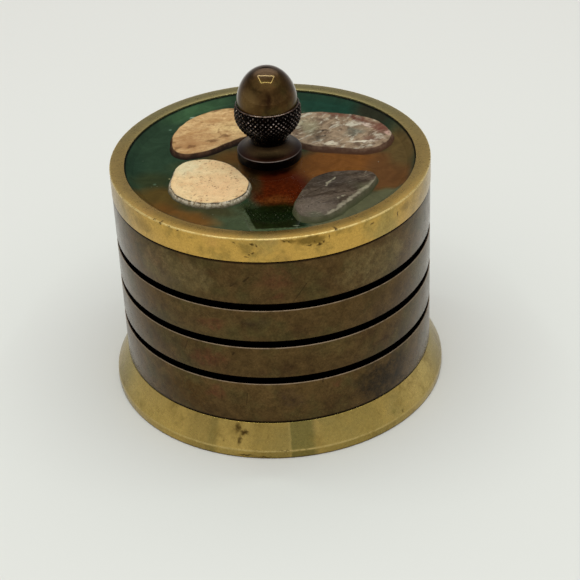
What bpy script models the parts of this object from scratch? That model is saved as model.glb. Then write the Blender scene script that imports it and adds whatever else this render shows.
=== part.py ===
"""Round brass trinket box: a grooved tube on a flared foot, with a lift-off lid of resin and stones.

The origin is the middle of the underside, and +Z is the axis that every turned piece shares.
"""

import math

import bmesh
import bpy
from mathutils import Vector

MM = 0.001

# Air between neighbours
TOUCH_GAP = 0.3 * MM  # between two pieces that rest on each other or are fixed together
LID_PLAY = 0.3 * MM  # between the lid's collar and the inside of the body
SCREW_PLAY = 0.3 * MM  # round the finial's screw, in every hole it passes

# Flared foot
FOOT_FLARE = 3.3 * MM  # how far the rim on the table stands out from the body
FOOT_RIM_HEIGHT = 2.2 * MM  # the upright part of the rim
FOOT_HEIGHT = 8.55 * MM  # up to the shoulder that carries the body
FOOT_FLOOR = 2.4 * MM  # thickness of the box's floor
FOOT_SPIGOT_HEIGHT = 3.0 * MM  # ring that stands up inside the body
FOOT_SPIGOT_WALL = 1.6 * MM
FELT_BORDER = 5.2 * MM  # brass rim round the felt's pocket
FELT_THICKNESS = 0.8 * MM

# Body tube
BODY_RADIUS = 39.9 * MM
BODY_WALL = 3.2 * MM
BODY_HEIGHT = 46.4 * MM
BODY_EDGE = 0.25 * MM  # chamfer on both outer edges
GROOVE_COUNT = 3
GROOVE_WIDTH = 1.8 * MM
GROOVE_DEPTH = 1.5 * MM
GROOVE_PITCH = 10.7 * MM

# Lid
LID_OVERHANG = 0.1 * MM  # how far the ring stands out from the body
LID_HEIGHT = 6.3 * MM  # height of the bright ring
LID_RING_WIDTH = 3.65 * MM
LID_FLOOR = 1.4 * MM
LID_EDGE = 0.3 * MM  # chamfer on the ring's outer top edge
COLLAR_DEPTH = 4.5 * MM
COLLAR_WALL = 1.4 * MM
RESIN_DROP = 0.2 * MM  # the resin's surface below the ring's top

# Stones, cast in with their flat side up
STONE_FLARE = 1.0 * MM  # a stone is this much wider at the bottom, on each side
RESIN_UNDER_STONES = 0.8 * MM

# Acorn finial
FLANGE_RADIUS = 8.0 * MM
FLANGE_THICKNESS = 2.45 * MM
FLANGE_EDGE = 0.25 * MM  # chamfer round the flange's top
FLANGE_RISE = 2.2 * MM  # how far the flange's top climbs from its rim to the neck
FLANGE_HOLLOW = 1.25  # 1 makes that climb a straight cone, and 2 a round cove
NECK_RADIUS = 4.65 * MM
NECK_LENGTH = 1.7 * MM  # its straight part, over the flange's climb
CUP_RADIUS = 8.3 * MM
CUP_BOWL_HEIGHT = 4.9 * MM  # the underside of the cup, down to the neck
CUP_BOWL_FULLNESS = 1.5  # 1 makes that underside a straight cone, and 2 a round bowl
CUP_BAND_HEIGHT = 2.45 * MM  # its straight band
CUP_LIP_HEIGHT = 1.05 * MM  # its edge, rolled in to the dome
DOME_STEP = 0.8 * MM  # the dome is this much slimmer than the cup
DOME_HEIGHT = 9.4 * MM
DOME_FULLNESS = 2.0  # 2 makes a half ellipse, and more a blunter tip

# Screw and washer under the lid
SCREW_RADIUS = 2.0 * MM
SCREW_GRIP = 7.0 * MM  # how far the screw reaches into the finial
SCREW_END_ROOM = 0.8 * MM  # air over the screw's end
SCREW_HEAD_RADIUS = 3.8 * MM
SCREW_HEAD_HEIGHT = 2.2 * MM
SCREW_HEAD_EDGE = 0.8 * MM  # chamfer round the head
WASHER_RADIUS = 6.0 * MM
WASHER_THICKNESS = 0.8 * MM

# Round pieces are drawn with this many sides
LARGE_SIDES = 72
SMALL_SIDES = 32
DOME_STEPS = 8
BOWL_STEPS = 5
LIP_STEPS = 3
RISE_STEPS = 4
OUTLINE_STEPS = 4  # points between two corners of a stone's outline
MERGE_DISTANCE = 0.001 * MM
CUTTER_REACH = 2.0 * MM  # how far a cutter runs past what it cuts
SMOOTH_ANGLE = math.radians(35)

# Heights and radii that follow from the sizes above
FOOT_RADIUS = BODY_RADIUS + FOOT_FLARE
FELT_POCKET_RADIUS = FOOT_RADIUS - FELT_BORDER
FELT_RADIUS = FELT_POCKET_RADIUS - TOUCH_GAP
FELT_POCKET_DEPTH = FELT_THICKNESS + TOUCH_GAP
FLOOR_TOP = FELT_POCKET_DEPTH + FOOT_FLOOR
BODY_INNER_RADIUS = BODY_RADIUS - BODY_WALL
BODY_BOTTOM = FOOT_HEIGHT + TOUCH_GAP
BODY_TOP = BODY_BOTTOM + BODY_HEIGHT
SPIGOT_RADIUS = BODY_INNER_RADIUS - TOUCH_GAP
LID_BOTTOM = BODY_TOP + TOUCH_GAP
LID_TOP = LID_BOTTOM + LID_HEIGHT
LID_RADIUS = BODY_RADIUS + LID_OVERHANG
WELL_RADIUS = LID_RADIUS - LID_RING_WIDTH
WELL_FLOOR = LID_BOTTOM + LID_FLOOR
COLLAR_RADIUS = BODY_INNER_RADIUS - LID_PLAY
COLLAR_TOP = LID_BOTTOM - TOUCH_GAP
RESIN_RADIUS = WELL_RADIUS - TOUCH_GAP
RESIN_BOTTOM = WELL_FLOOR + TOUCH_GAP
RESIN_TOP = LID_TOP - RESIN_DROP
STONE_BOTTOM = RESIN_BOTTOM + RESIN_UNDER_STONES + TOUCH_GAP
SCREW_HOLE_RADIUS = SCREW_RADIUS + SCREW_PLAY
FINIAL_BOTTOM = RESIN_TOP + TOUCH_GAP
WASHER_TOP = LID_BOTTOM - TOUCH_GAP
SCREW_SEAT = WASHER_TOP - WASHER_THICKNESS - TOUCH_GAP

# Each stone's outline as corners that a smooth curve runs through: the compass angle in degrees from +X,
# and how far out the corner lies, from 0 at the screw's hole to 1 at the resin's edge
STONES = {
    "stone_cream": (
        (179, 0.45), (188, 0.28), (223, 0.24), (247, 0.36), (247, 0.54),
        (238, 0.67), (225, 0.75), (212, 0.76), (197, 0.67), (184, 0.59),
    ),
    "stone_tan": (
        (160, 0.70), (169, 0.61), (165, 0.45), (132, 0.33), (105, 0.34),
        (93, 0.48), (97, 0.68), (109, 0.79), (123, 0.82), (139, 0.80),
    ),
    "stone_marbled": (
        (69, 0.31), (27, 0.28), (10, 0.47), (5, 0.70), (14, 0.87),
        (24, 0.90), (35, 0.87), (49, 0.77), (67, 0.66), (76, 0.51),
    ),
    "stone_slate": (
        (283, 0.67), (295, 0.48), (317, 0.40), (334, 0.54), (336, 0.75),
        (326, 0.79), (308, 0.82), (295, 0.88), (287, 0.87), (282, 0.78),
    ),
}


def clear_scene():
    """Remove every object that the file opened with."""
    for obj in list(bpy.data.objects):
        bpy.data.objects.remove(obj, do_unlink=True)


def new_collection(name):
    """Add a collection to the scene and return it."""
    collection = bpy.data.collections.new(name)
    bpy.context.scene.collection.children.link(collection)
    return collection


def new_material(name, colour, roughness, metallic):
    """Return a plain material with this linear colour."""
    material = bpy.data.materials.new(name)
    material.use_nodes = True
    shader = material.node_tree.nodes["Principled BSDF"]
    shader.inputs["Base Color"].default_value = (*colour, 1.0)
    shader.inputs["Roughness"].default_value = roughness
    shader.inputs["Metallic"].default_value = metallic
    material.diffuse_color = (*colour, 1.0)
    return material


def turned(name, profile, sides, closed, collection):
    """Turn a profile of (radius, height) points round the axis.

    An open profile starts and ends on the axis. Every profile runs down the piece's outer side.
    """
    mesh = bpy.data.meshes.new(name)
    edges = [(i, i + 1) for i in range(len(profile) - 1)]
    if closed:
        edges.append((len(profile) - 1, 0))
    mesh.from_pydata([(radius, 0, height) for radius, height in profile], edges, [])
    obj = bpy.data.objects.new(name, mesh)
    collection.objects.link(obj)
    screw = obj.modifiers.new("Turn", "SCREW")
    screw.axis = "Z"
    screw.angle = math.tau
    screw.steps = sides
    screw.render_steps = sides
    screw.use_merge_vertices = True
    screw.merge_threshold = MERGE_DISTANCE
    evaluated = obj.evaluated_get(bpy.context.evaluated_depsgraph_get())
    turned_mesh = bpy.data.meshes.new_from_object(evaluated)
    obj.modifiers.clear()
    obj.data = turned_mesh
    bpy.data.meshes.remove(mesh)
    turned_mesh.name = name
    return obj


def finish(obj, material):
    """Give a piece its material, and smooth shading that breaks at its edges."""
    obj.data.materials.clear()
    obj.data.materials.append(material)
    obj.data.shade_smooth()
    obj.data.set_sharp_from_angle(angle=SMOOTH_ANGLE)


def cut(target, cutter):
    """Cut one piece out of another, and keep the cutter as a hidden guide."""
    boolean = target.modifiers.new(f"Cut {cutter.name}", "BOOLEAN")
    boolean.operation = "DIFFERENCE"
    boolean.solver = "EXACT"
    boolean.object = cutter
    cutter.hide_render = True
    cutter.display_type = "WIRE"


def hole_cutter(name, radius, bottom, top, collection):
    """Return an upright cylinder on the axis that cuts a hole from bottom to top."""
    bpy.ops.mesh.primitive_cylinder_add(
        vertices=SMALL_SIDES, radius=radius, depth=top - bottom, location=(0, 0, (top + bottom) / 2)
    )
    cutter = bpy.context.object
    cutter.name = name
    for other in list(cutter.users_collection):
        other.objects.unlink(cutter)
    collection.objects.link(cutter)
    return cutter


def bed_point(angle, share):
    """Return the place on the resin of a stone's corner."""
    radius = SCREW_HOLE_RADIUS + share * (RESIN_RADIUS - SCREW_HOLE_RADIUS)
    turn = math.radians(angle)
    return Vector((radius * math.cos(turn), radius * math.sin(turn), 0))


def stone_block(name, corners, grow, bottom, top, collection):
    """Return a stone's solid, wider at the bottom, with its outline moved out by grow."""
    curve = bpy.data.curves.new(name, "CURVE")
    curve.dimensions = "2D"
    curve.fill_mode = "BOTH"
    curve.extrude = (top - bottom) / 2
    curve.offset = grow
    curve.resolution_u = OUTLINE_STEPS
    curve.render_resolution_u = OUTLINE_STEPS
    spline = curve.splines.new("BEZIER")
    spline.bezier_points.add(len(corners) - 1)
    spline.use_cyclic_u = True
    for point, (angle, share) in zip(spline.bezier_points, corners):
        point.co = bed_point(angle, share)
        point.handle_left_type = "AUTO"
        point.handle_right_type = "AUTO"
    outline = bpy.data.objects.new(f"{name}_outline", curve)
    outline.location.z = (top + bottom) / 2
    collection.objects.link(outline)
    bpy.context.view_layer.update()
    evaluated = outline.evaluated_get(bpy.context.evaluated_depsgraph_get())
    mesh = bpy.data.meshes.new_from_object(evaluated)
    mesh.name = name
    obj = bpy.data.objects.new(name, mesh)
    obj.matrix_world = outline.matrix_world
    collection.objects.link(obj)
    bpy.data.objects.remove(outline, do_unlink=True)

    work = bmesh.new()
    work.from_mesh(mesh)
    bmesh.ops.remove_doubles(work, verts=work.verts, dist=MERGE_DISTANCE)
    foot = [vert for vert in work.verts if vert.co.z < 0]
    centre = sum((vert.co for vert in foot), Vector()) / len(foot)
    mean_radius = sum((vert.co - centre).length for vert in foot) / len(foot)
    for vert in foot:
        vert.co += (vert.co - centre) * STONE_FLARE / mean_radius
    bmesh.ops.recalc_face_normals(work, faces=work.faces)
    work.to_mesh(mesh)
    work.free()
    return obj


def foot_profile():
    """Return the flared foot: floor, spigot, shoulder, cone, rim and the pocket for the felt."""
    spigot_top = FOOT_HEIGHT + FOOT_SPIGOT_HEIGHT
    spigot_inner = SPIGOT_RADIUS - FOOT_SPIGOT_WALL
    return [
        (0, FLOOR_TOP),
        (spigot_inner, FLOOR_TOP),
        (spigot_inner, spigot_top),
        (SPIGOT_RADIUS, spigot_top),
        (SPIGOT_RADIUS, FOOT_HEIGHT),
        (BODY_RADIUS, FOOT_HEIGHT),
        (FOOT_RADIUS, FOOT_RIM_HEIGHT),
        (FOOT_RADIUS, 0),
        (FELT_POCKET_RADIUS, 0),
        (FELT_POCKET_RADIUS, FELT_POCKET_DEPTH),
        (0, FELT_POCKET_DEPTH),
    ]


def body_profile():
    """Return the tube's wall with its grooves, evenly spaced about mid-height."""
    points = [
        (BODY_INNER_RADIUS, BODY_TOP),
        (BODY_RADIUS - BODY_EDGE, BODY_TOP),
        (BODY_RADIUS, BODY_TOP - BODY_EDGE),
    ]
    middle = (BODY_TOP + BODY_BOTTOM) / 2
    for step in range(GROOVE_COUNT):
        centre = middle + GROOVE_PITCH * ((GROOVE_COUNT - 1) / 2 - step)
        upper = centre + GROOVE_WIDTH / 2
        lower = centre - GROOVE_WIDTH / 2
        points += [
            (BODY_RADIUS, upper),
            (BODY_RADIUS - GROOVE_DEPTH, upper),
            (BODY_RADIUS - GROOVE_DEPTH, lower),
            (BODY_RADIUS, lower),
        ]
    points += [
        (BODY_RADIUS, BODY_BOTTOM + BODY_EDGE),
        (BODY_RADIUS - BODY_EDGE, BODY_BOTTOM),
        (BODY_INNER_RADIUS, BODY_BOTTOM),
    ]
    return points


def pan_profile():
    """Return the lid's ring and floor, with the hole for the finial's screw."""
    return [
        (SCREW_HOLE_RADIUS, WELL_FLOOR),
        (WELL_RADIUS, WELL_FLOOR),
        (WELL_RADIUS, LID_TOP),
        (LID_RADIUS - LID_EDGE, LID_TOP),
        (LID_RADIUS, LID_TOP - LID_EDGE),
        (LID_RADIUS, LID_BOTTOM),
        (SCREW_HOLE_RADIUS, LID_BOTTOM),
    ]


def ring_profile(inner, outer, bottom, top):
    """Return a plain ring's section."""
    return [(inner, top), (outer, top), (outer, bottom), (inner, bottom)]


def disc_profile(radius, bottom, top):
    """Return a plain disc's section."""
    return [(0, top), (radius, top), (radius, bottom), (0, bottom)]


def quarter_round(centre, width, height, steps, fullness=2):
    """Return a quarter of an ellipse round centre, from its top or bottom out to its side.

    A negative width or height turns the quarter round. A fullness below 2 flattens it towards a straight
    slope. The point at the side is left out.
    """
    points = []
    for step in range(steps):
        turn = math.pi / 2 * (1 - step / steps)
        out = math.cos(turn) ** (2 / fullness)
        up = math.sin(turn) ** (2 / fullness)
        points.append((centre[0] + width * out, centre[1] + height * up))
    return points


def finial_profile():
    """Return the acorn from its tip down to the underside of its flange."""
    flange_top = FINIAL_BOTTOM + FLANGE_THICKNESS
    cup_bottom = flange_top + FLANGE_RISE + NECK_LENGTH
    band_bottom = cup_bottom + CUP_BOWL_HEIGHT
    band_top = band_bottom + CUP_BAND_HEIGHT
    dome_bottom = band_top + CUP_LIP_HEIGHT
    dome_radius = CUP_RADIUS - DOME_STEP
    dome = []
    for step in range(DOME_STEPS):
        height = math.sin(math.pi / 2 * (1 - step / DOME_STEPS))
        width = math.sqrt(1 - height**DOME_FULLNESS)
        dome.append((dome_radius * width, dome_bottom + DOME_HEIGHT * height))
    lip = quarter_round((dome_radius, band_top), DOME_STEP, CUP_LIP_HEIGHT, LIP_STEPS)
    bowl = quarter_round(
        (NECK_RADIUS, band_bottom), CUP_RADIUS - NECK_RADIUS, -CUP_BOWL_HEIGHT, BOWL_STEPS, CUP_BOWL_FULLNESS
    )
    rise_width = FLANGE_RADIUS - FLANGE_EDGE - NECK_RADIUS
    rise_centre = (FLANGE_RADIUS - FLANGE_EDGE, flange_top + FLANGE_RISE)
    rise = quarter_round(rise_centre, -rise_width, -FLANGE_RISE, RISE_STEPS, FLANGE_HOLLOW)
    return [
        *dome,
        *lip,
        (CUP_RADIUS, band_top),
        (CUP_RADIUS, band_bottom),
        *reversed(bowl),
        (NECK_RADIUS, flange_top + FLANGE_RISE),
        *reversed(rise),
        (FLANGE_RADIUS, flange_top - FLANGE_EDGE),
        (FLANGE_RADIUS, FINIAL_BOTTOM),
        (0, FINIAL_BOTTOM),
    ]


def screw_profile():
    """Return the screw, with its shank up inside the finial."""
    end = FINIAL_BOTTOM + SCREW_GRIP
    return [
        (0, end),
        (SCREW_RADIUS, end),
        (SCREW_RADIUS, SCREW_SEAT),
        (SCREW_HEAD_RADIUS, SCREW_SEAT),
        (SCREW_HEAD_RADIUS, SCREW_SEAT - SCREW_HEAD_HEIGHT + SCREW_HEAD_EDGE),
        (SCREW_HEAD_RADIUS - SCREW_HEAD_EDGE, SCREW_SEAT - SCREW_HEAD_HEIGHT),
        (0, SCREW_SEAT - SCREW_HEAD_HEIGHT),
    ]


def build_foot(parts, bright, felt_cloth):
    """Make the flared foot and the felt under it."""
    foot = turned("base_flange", foot_profile(), LARGE_SIDES, False, parts)
    finish(foot, bright)
    felt = turned("base_felt", disc_profile(FELT_RADIUS, 0, FELT_THICKNESS), LARGE_SIDES, False, parts)
    finish(felt, felt_cloth)


def build_body(parts, dark):
    """Make the grooved tube."""
    body = turned("body_tube", body_profile(), LARGE_SIDES, True, parts)
    finish(body, dark)


def build_lid(parts, cutters, bright, resin):
    """Make the lid's pan, its collar and the resin bed with a pocket for each stone."""
    pan = turned("lid_pan", pan_profile(), LARGE_SIDES, True, parts)
    finish(pan, bright)
    collar_section = ring_profile(
        COLLAR_RADIUS - COLLAR_WALL, COLLAR_RADIUS, COLLAR_TOP - COLLAR_DEPTH, COLLAR_TOP
    )
    collar = turned("lid_collar", collar_section, LARGE_SIDES, True, parts)
    finish(collar, bright)
    bed_section = ring_profile(SCREW_HOLE_RADIUS, RESIN_RADIUS, RESIN_BOTTOM, RESIN_TOP)
    bed = turned("resin_bed", bed_section, LARGE_SIDES, True, parts)
    finish(bed, resin)
    for name, corners in STONES.items():
        pocket = stone_block(
            f"{name}_pocket", corners, TOUCH_GAP, STONE_BOTTOM - TOUCH_GAP, RESIN_TOP + CUTTER_REACH, cutters
        )
        cut(bed, pocket)


def build_stones(parts, colours):
    """Make the four stones, flush with the resin."""
    for name, corners in STONES.items():
        stone = stone_block(name, corners, 0, STONE_BOTTOM, RESIN_TOP, parts)
        finish(stone, new_material(name, colours[name], 0.4, 0.0))


def build_finial(parts, cutters, antique, pale):
    """Make the acorn with the blind hole for its screw, the screw and the washer."""
    acorn = turned("acorn_finial", finial_profile(), SMALL_SIDES, False, parts)
    finish(acorn, antique)
    hole_top = FINIAL_BOTTOM + SCREW_GRIP + SCREW_END_ROOM
    hole = hole_cutter(
        "acorn_screw_hole", SCREW_HOLE_RADIUS, FINIAL_BOTTOM - CUTTER_REACH, hole_top, cutters
    )
    cut(acorn, hole)
    screw = turned("finial_screw", screw_profile(), SMALL_SIDES, False, parts)
    finish(screw, pale)
    washer_section = ring_profile(
        SCREW_HOLE_RADIUS, WASHER_RADIUS, WASHER_TOP - WASHER_THICKNESS, WASHER_TOP
    )
    washer = turned("finial_washer", washer_section, SMALL_SIDES, True, parts)
    finish(washer, pale)


def main():
    """Build the whole box."""
    clear_scene()
    parts = new_collection("trinket_box")
    cutters = new_collection("cutters")
    bright = new_material("bright_brass", (0.42, 0.30, 0.10), 0.35, 1.0)
    dark = new_material("dark_brass", (0.10, 0.065, 0.03), 0.4, 1.0)
    antique = new_material("antique_brass", (0.08, 0.05, 0.025), 0.3, 1.0)
    pale = new_material("screw_brass", (0.36, 0.28, 0.12), 0.4, 1.0)
    resin = new_material("tinted_resin", (0.06, 0.05, 0.02), 0.08, 0.0)
    felt_cloth = new_material("green_felt", (0.02, 0.05, 0.025), 0.95, 0.0)
    stone_colours = {
        "stone_cream": (0.72, 0.56, 0.34),
        "stone_tan": (0.50, 0.30, 0.16),
        "stone_marbled": (0.32, 0.26, 0.21),
        "stone_slate": (0.09, 0.07, 0.055),
    }
    build_foot(parts, bright, felt_cloth)
    build_body(parts, dark)
    build_lid(parts, cutters, bright, resin)
    build_stones(parts, stone_colours)
    build_finial(parts, cutters, antique, pale)


main()
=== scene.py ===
"""A round brass trinket box with a lift-off lid, dressed for a studio picture.

The lid is a bright brass ring round a bed of tinted resin with four stones set in it, and an acorn knob
stands in its middle. The body is a dark, patinated tube with three black grooves, on a bright flared foot.
Sizes are in metres, +Z is the axis that every turned piece shares, and +X lies to the right in the picture.
"""

import logging
import math
import random
from collections.abc import Callable, Iterable, Sequence
from dataclasses import dataclass, replace
from enum import Enum

import bmesh
import bpy
from mathutils import Matrix, Vector, noise


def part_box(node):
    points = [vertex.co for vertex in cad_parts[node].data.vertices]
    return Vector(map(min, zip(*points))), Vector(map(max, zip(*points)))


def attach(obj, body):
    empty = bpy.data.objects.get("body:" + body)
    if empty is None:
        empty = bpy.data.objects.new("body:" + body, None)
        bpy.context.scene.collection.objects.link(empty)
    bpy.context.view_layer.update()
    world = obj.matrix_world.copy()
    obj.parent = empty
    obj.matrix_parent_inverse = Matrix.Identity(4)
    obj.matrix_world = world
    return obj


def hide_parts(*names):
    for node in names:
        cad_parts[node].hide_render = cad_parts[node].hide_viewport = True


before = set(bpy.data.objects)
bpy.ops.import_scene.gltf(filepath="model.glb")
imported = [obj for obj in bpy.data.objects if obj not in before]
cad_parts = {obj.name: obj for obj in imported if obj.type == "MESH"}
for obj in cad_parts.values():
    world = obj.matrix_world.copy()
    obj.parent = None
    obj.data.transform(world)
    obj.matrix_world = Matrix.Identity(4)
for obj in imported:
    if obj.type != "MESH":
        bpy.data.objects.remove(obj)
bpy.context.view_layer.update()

MM = 0.001
MERGE_DISTANCE = 0.002 * MM
SMOOTH_ANGLE = math.radians(32)
TURNED_STEPS = 192  # sides of the large turned pieces
SMALL_STEPS = 64  # sides of the small turned pieces
STONE_FACE = 61.4  # the height of the stones' faces, in millimetres
STONE_CORE = 61.0  # a height inside the stones
COLUMN = 40.0  # so tall, in millimetres, that a patch seen from above has the same outline at every height

Colour = tuple[float, float, float]
Point = tuple[float, float]
Place = tuple[float, float, float]
Piece = bpy.types.Object
Material = bpy.types.Material
Socket = bpy.types.NodeSocket
Value = float | Socket
Line = tuple[Point, Point, float, float]  # a start, an end, a full width in millimetres and a strength

log = logging.getLogger("trinket_box")


def dye(red: int, green: int, blue: int) -> Colour:
    """Return the linear colour of an 8-bit screen colour."""

    def linear(level: int) -> float:
        """Return one part of it."""
        share = level / 255
        return share / 12.92 if share <= 0.04045 else ((share + 0.055) / 1.055) ** 2.4

    return linear(red), linear(green), linear(blue)


@dataclass(frozen=True)
class Span:
    """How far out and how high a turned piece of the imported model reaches."""

    radius: float
    bottom: float
    top: float

    @classmethod
    def of(cls, node: str) -> "Span":
        """Read the reach of a node of the frame."""
        low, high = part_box(node)
        return cls(radius=high.x, bottom=low.z, top=high.z)


class Lathe:
    """The modelling steps that the turned pieces share."""

    @staticmethod
    def clear_selection() -> None:
        """Leave edit mode and deselect everything."""
        if bpy.context.object and bpy.context.object.mode != "OBJECT":
            bpy.ops.object.mode_set(mode="OBJECT")
        bpy.ops.object.select_all(action="DESELECT")

    @classmethod
    def pick(cls, piece: Piece) -> None:
        """Make one piece the only selected and active object."""
        cls.clear_selection()
        piece.select_set(True)
        bpy.context.view_layer.objects.active = piece

    @classmethod
    def turn(cls, name: str, profile: Sequence[Point], steps: int, closed: bool) -> Piece:
        """Turn a section into a piece, as on a lathe.

        Args:
            name: The piece's name.
            profile: The section as (radius, height) points. An open one starts and ends on the axis.
            steps: How many sides the piece gets.
            closed: Whether the section runs back to its first point, as a ring's does.

        Returns:
            The piece, with its faces outward and its place in its mesh.
        """
        cls.clear_selection()
        bpy.ops.mesh.primitive_plane_add(size=MM)
        piece = bpy.context.object
        piece.name = name
        piece.data.name = name
        bpy.ops.object.mode_set(mode="EDIT")
        bpy.ops.mesh.select_all(action="SELECT")
        bpy.ops.mesh.merge(type="CENTER")
        radius, height = profile[0]
        bpy.ops.transform.translate(value=(radius, 0, height))
        path = [*profile, profile[0]] if closed else list(profile)
        for here, there in zip(path, path[1:]):
            step = (there[0] - here[0], 0, there[1] - here[1])
            bpy.ops.mesh.extrude_vertices_move(TRANSFORM_OT_translate={"value": step})
        bpy.ops.mesh.select_all(action="SELECT")
        bpy.ops.mesh.spin(steps=steps, angle=math.tau, center=(0, 0, 0), axis=(0, 0, 1))
        bpy.ops.mesh.select_all(action="SELECT")
        bpy.ops.mesh.remove_doubles(threshold=MERGE_DISTANCE)
        bpy.ops.mesh.normals_make_consistent(inside=False)
        bpy.ops.object.mode_set(mode="OBJECT")
        return piece

    @staticmethod
    def softened(corners: Sequence[Place], closed: bool, steps: int = 3) -> list[Point]:
        """Return a section with rounded corners.

        Args:
            corners: Each corner's radius, height and how far back from it the rounding starts.
            closed: Whether the section runs back to its first corner.
            steps: How many stretches each rounding gets.

        Returns:
            The section's points.
        """
        section = []
        for index, (radius, height, rounding) in enumerate(corners):
            here = Vector((radius, height))
            if rounding == 0 or (not closed and index in (0, len(corners) - 1)):
                section.append(tuple(here))
                continue
            back = (Vector(corners[index - 1][:2]) - here).normalized() * rounding
            ahead = (Vector(corners[(index + 1) % len(corners)][:2]) - here).normalized() * rounding
            for step in range(steps + 1):
                share = step / steps
                section.append(tuple(here + back * (1 - share) ** 2 + ahead * share**2))
        return section

    @classmethod
    def turn_soft(cls, name: str, corners: Sequence[Place], steps: int, closed: bool) -> Piece:
        """Turn a section with rounded corners into a smooth piece."""
        piece = cls.turn(name, cls.softened(corners, closed), steps, closed)
        cls.smooth(piece)
        return piece

    @classmethod
    def smooth(cls, piece: Piece) -> None:
        """Shade a piece smooth, except across its sharp edges."""
        cls.pick(piece)
        bpy.ops.object.shade_smooth_by_angle(angle=SMOOTH_ANGLE)

    @staticmethod
    def arc(centre: Point, reach: Point, start: float, end: float, steps: int) -> list[Point]:
        """Return points on part of an ellipse.

        Args:
            centre: The ellipse's centre, as (radius, height).
            reach: Its half width and half height.
            start: The first point's angle in degrees, from the outward side.
            end: The last point's angle.
            steps: How many stretches lie between them.

        Returns:
            The points, one more than the stretches.
        """
        points = []
        for step in range(steps + 1):
            turn = math.radians(start + (end - start) * step / steps)
            points.append((centre[0] + reach[0] * math.cos(turn), centre[1] + reach[1] * math.sin(turn)))
        return points


class ShaderNodes:
    """A node tree, with a short method for each kind of node that the finishes and the light share."""

    def __init__(self, tree: bpy.types.NodeTree) -> None:
        """Take the tree that the nodes go into."""
        self.tree = tree

    def feed(self, socket: Socket, value: Value | Colour) -> None:
        """Link a socket to another one, or set its number."""
        if isinstance(value, bpy.types.NodeSocket):
            self.tree.links.new(value, socket)
        elif isinstance(value, tuple) and len(socket.default_value) == 4:
            socket.default_value = (*value, 1.0)
        else:
            socket.default_value = value

    def node(self, kind: str, inputs: dict[int | str, Value | Colour | None],
             **settings: str) -> bpy.types.Node:
        """Add a node with its settings and with its inputs, of which those that are None stay as they are."""
        node = self.tree.nodes.new("ShaderNode" + kind)
        for name, setting in settings.items():
            setattr(node, name, setting)
        for name, value in inputs.items():
            if value is not None:
                self.feed(node.inputs[name], value)
        return node

    def vector(self, kind: str, first: Socket | Place, second: Socket | Place | None = None,
               scale: Value | None = None) -> Socket:
        """Return a vector operation's result, or its number where it gives one."""
        node = self.node("VectorMath", {0: first, 1: second, "Scale": scale}, operation=kind)
        return node.outputs["Value" if kind in ("DOT_PRODUCT", "LENGTH") else "Vector"]

    def maths(self, kind: str, first: Value, second: Value = 0.0, clamp: bool = False) -> Socket:
        """Return the result of a sum on one or two numbers."""
        return self.node("Math", {0: first, 1: second}, operation=kind, use_clamp=clamp).outputs["Value"]

    def times(self, first: Value, second: Value) -> Socket:
        """Return the product of two numbers."""
        return self.maths("MULTIPLY", first, second)

    def split(self, place: Socket) -> tuple[Socket, Socket, Socket]:
        """Return a place's three numbers."""
        return tuple(self.node("SeparateXYZ", {0: place}).outputs)

    def joined(self, x: Value, y: Value, z: Value) -> Socket:
        """Return the place that three numbers give."""
        return self.node("CombineXYZ", {0: x, 1: y, 2: z}).outputs[0]

    def ramp(self, value: Value, low: float, high: float, start: float = 0.0, end: float = 1.0) -> Socket:
        """Return a value that goes smoothly from start to end while the given one goes from low to high."""
        inputs = {"Value": value, "From Min": low, "From Max": high, "To Min": start, "To Max": end}
        return self.node("MapRange", inputs, interpolation_type="SMOOTHSTEP").outputs["Result"]

    def blend(self, share: Value, first: Socket | Colour, second: Socket | Colour) -> Socket:
        """Return the mixture of two colours."""
        return self.node("Mix", {0: share, 6: first, 7: second}, data_type="RGBA").outputs[2]


@dataclass(frozen=True)
class Pool:
    """A patch of one tint in the resin or a stone, as seen from above, in millimetres."""

    tint: Colour
    centre: Point
    reach: Point
    turn: float = 0.0
    core: float = 0.35
    strength: float = 1.0


@dataclass(frozen=True)
class Fleck(Pool):
    """A small patch with a crisp edge."""

    core: float = 0.55
    strength: float = 0.8


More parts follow.
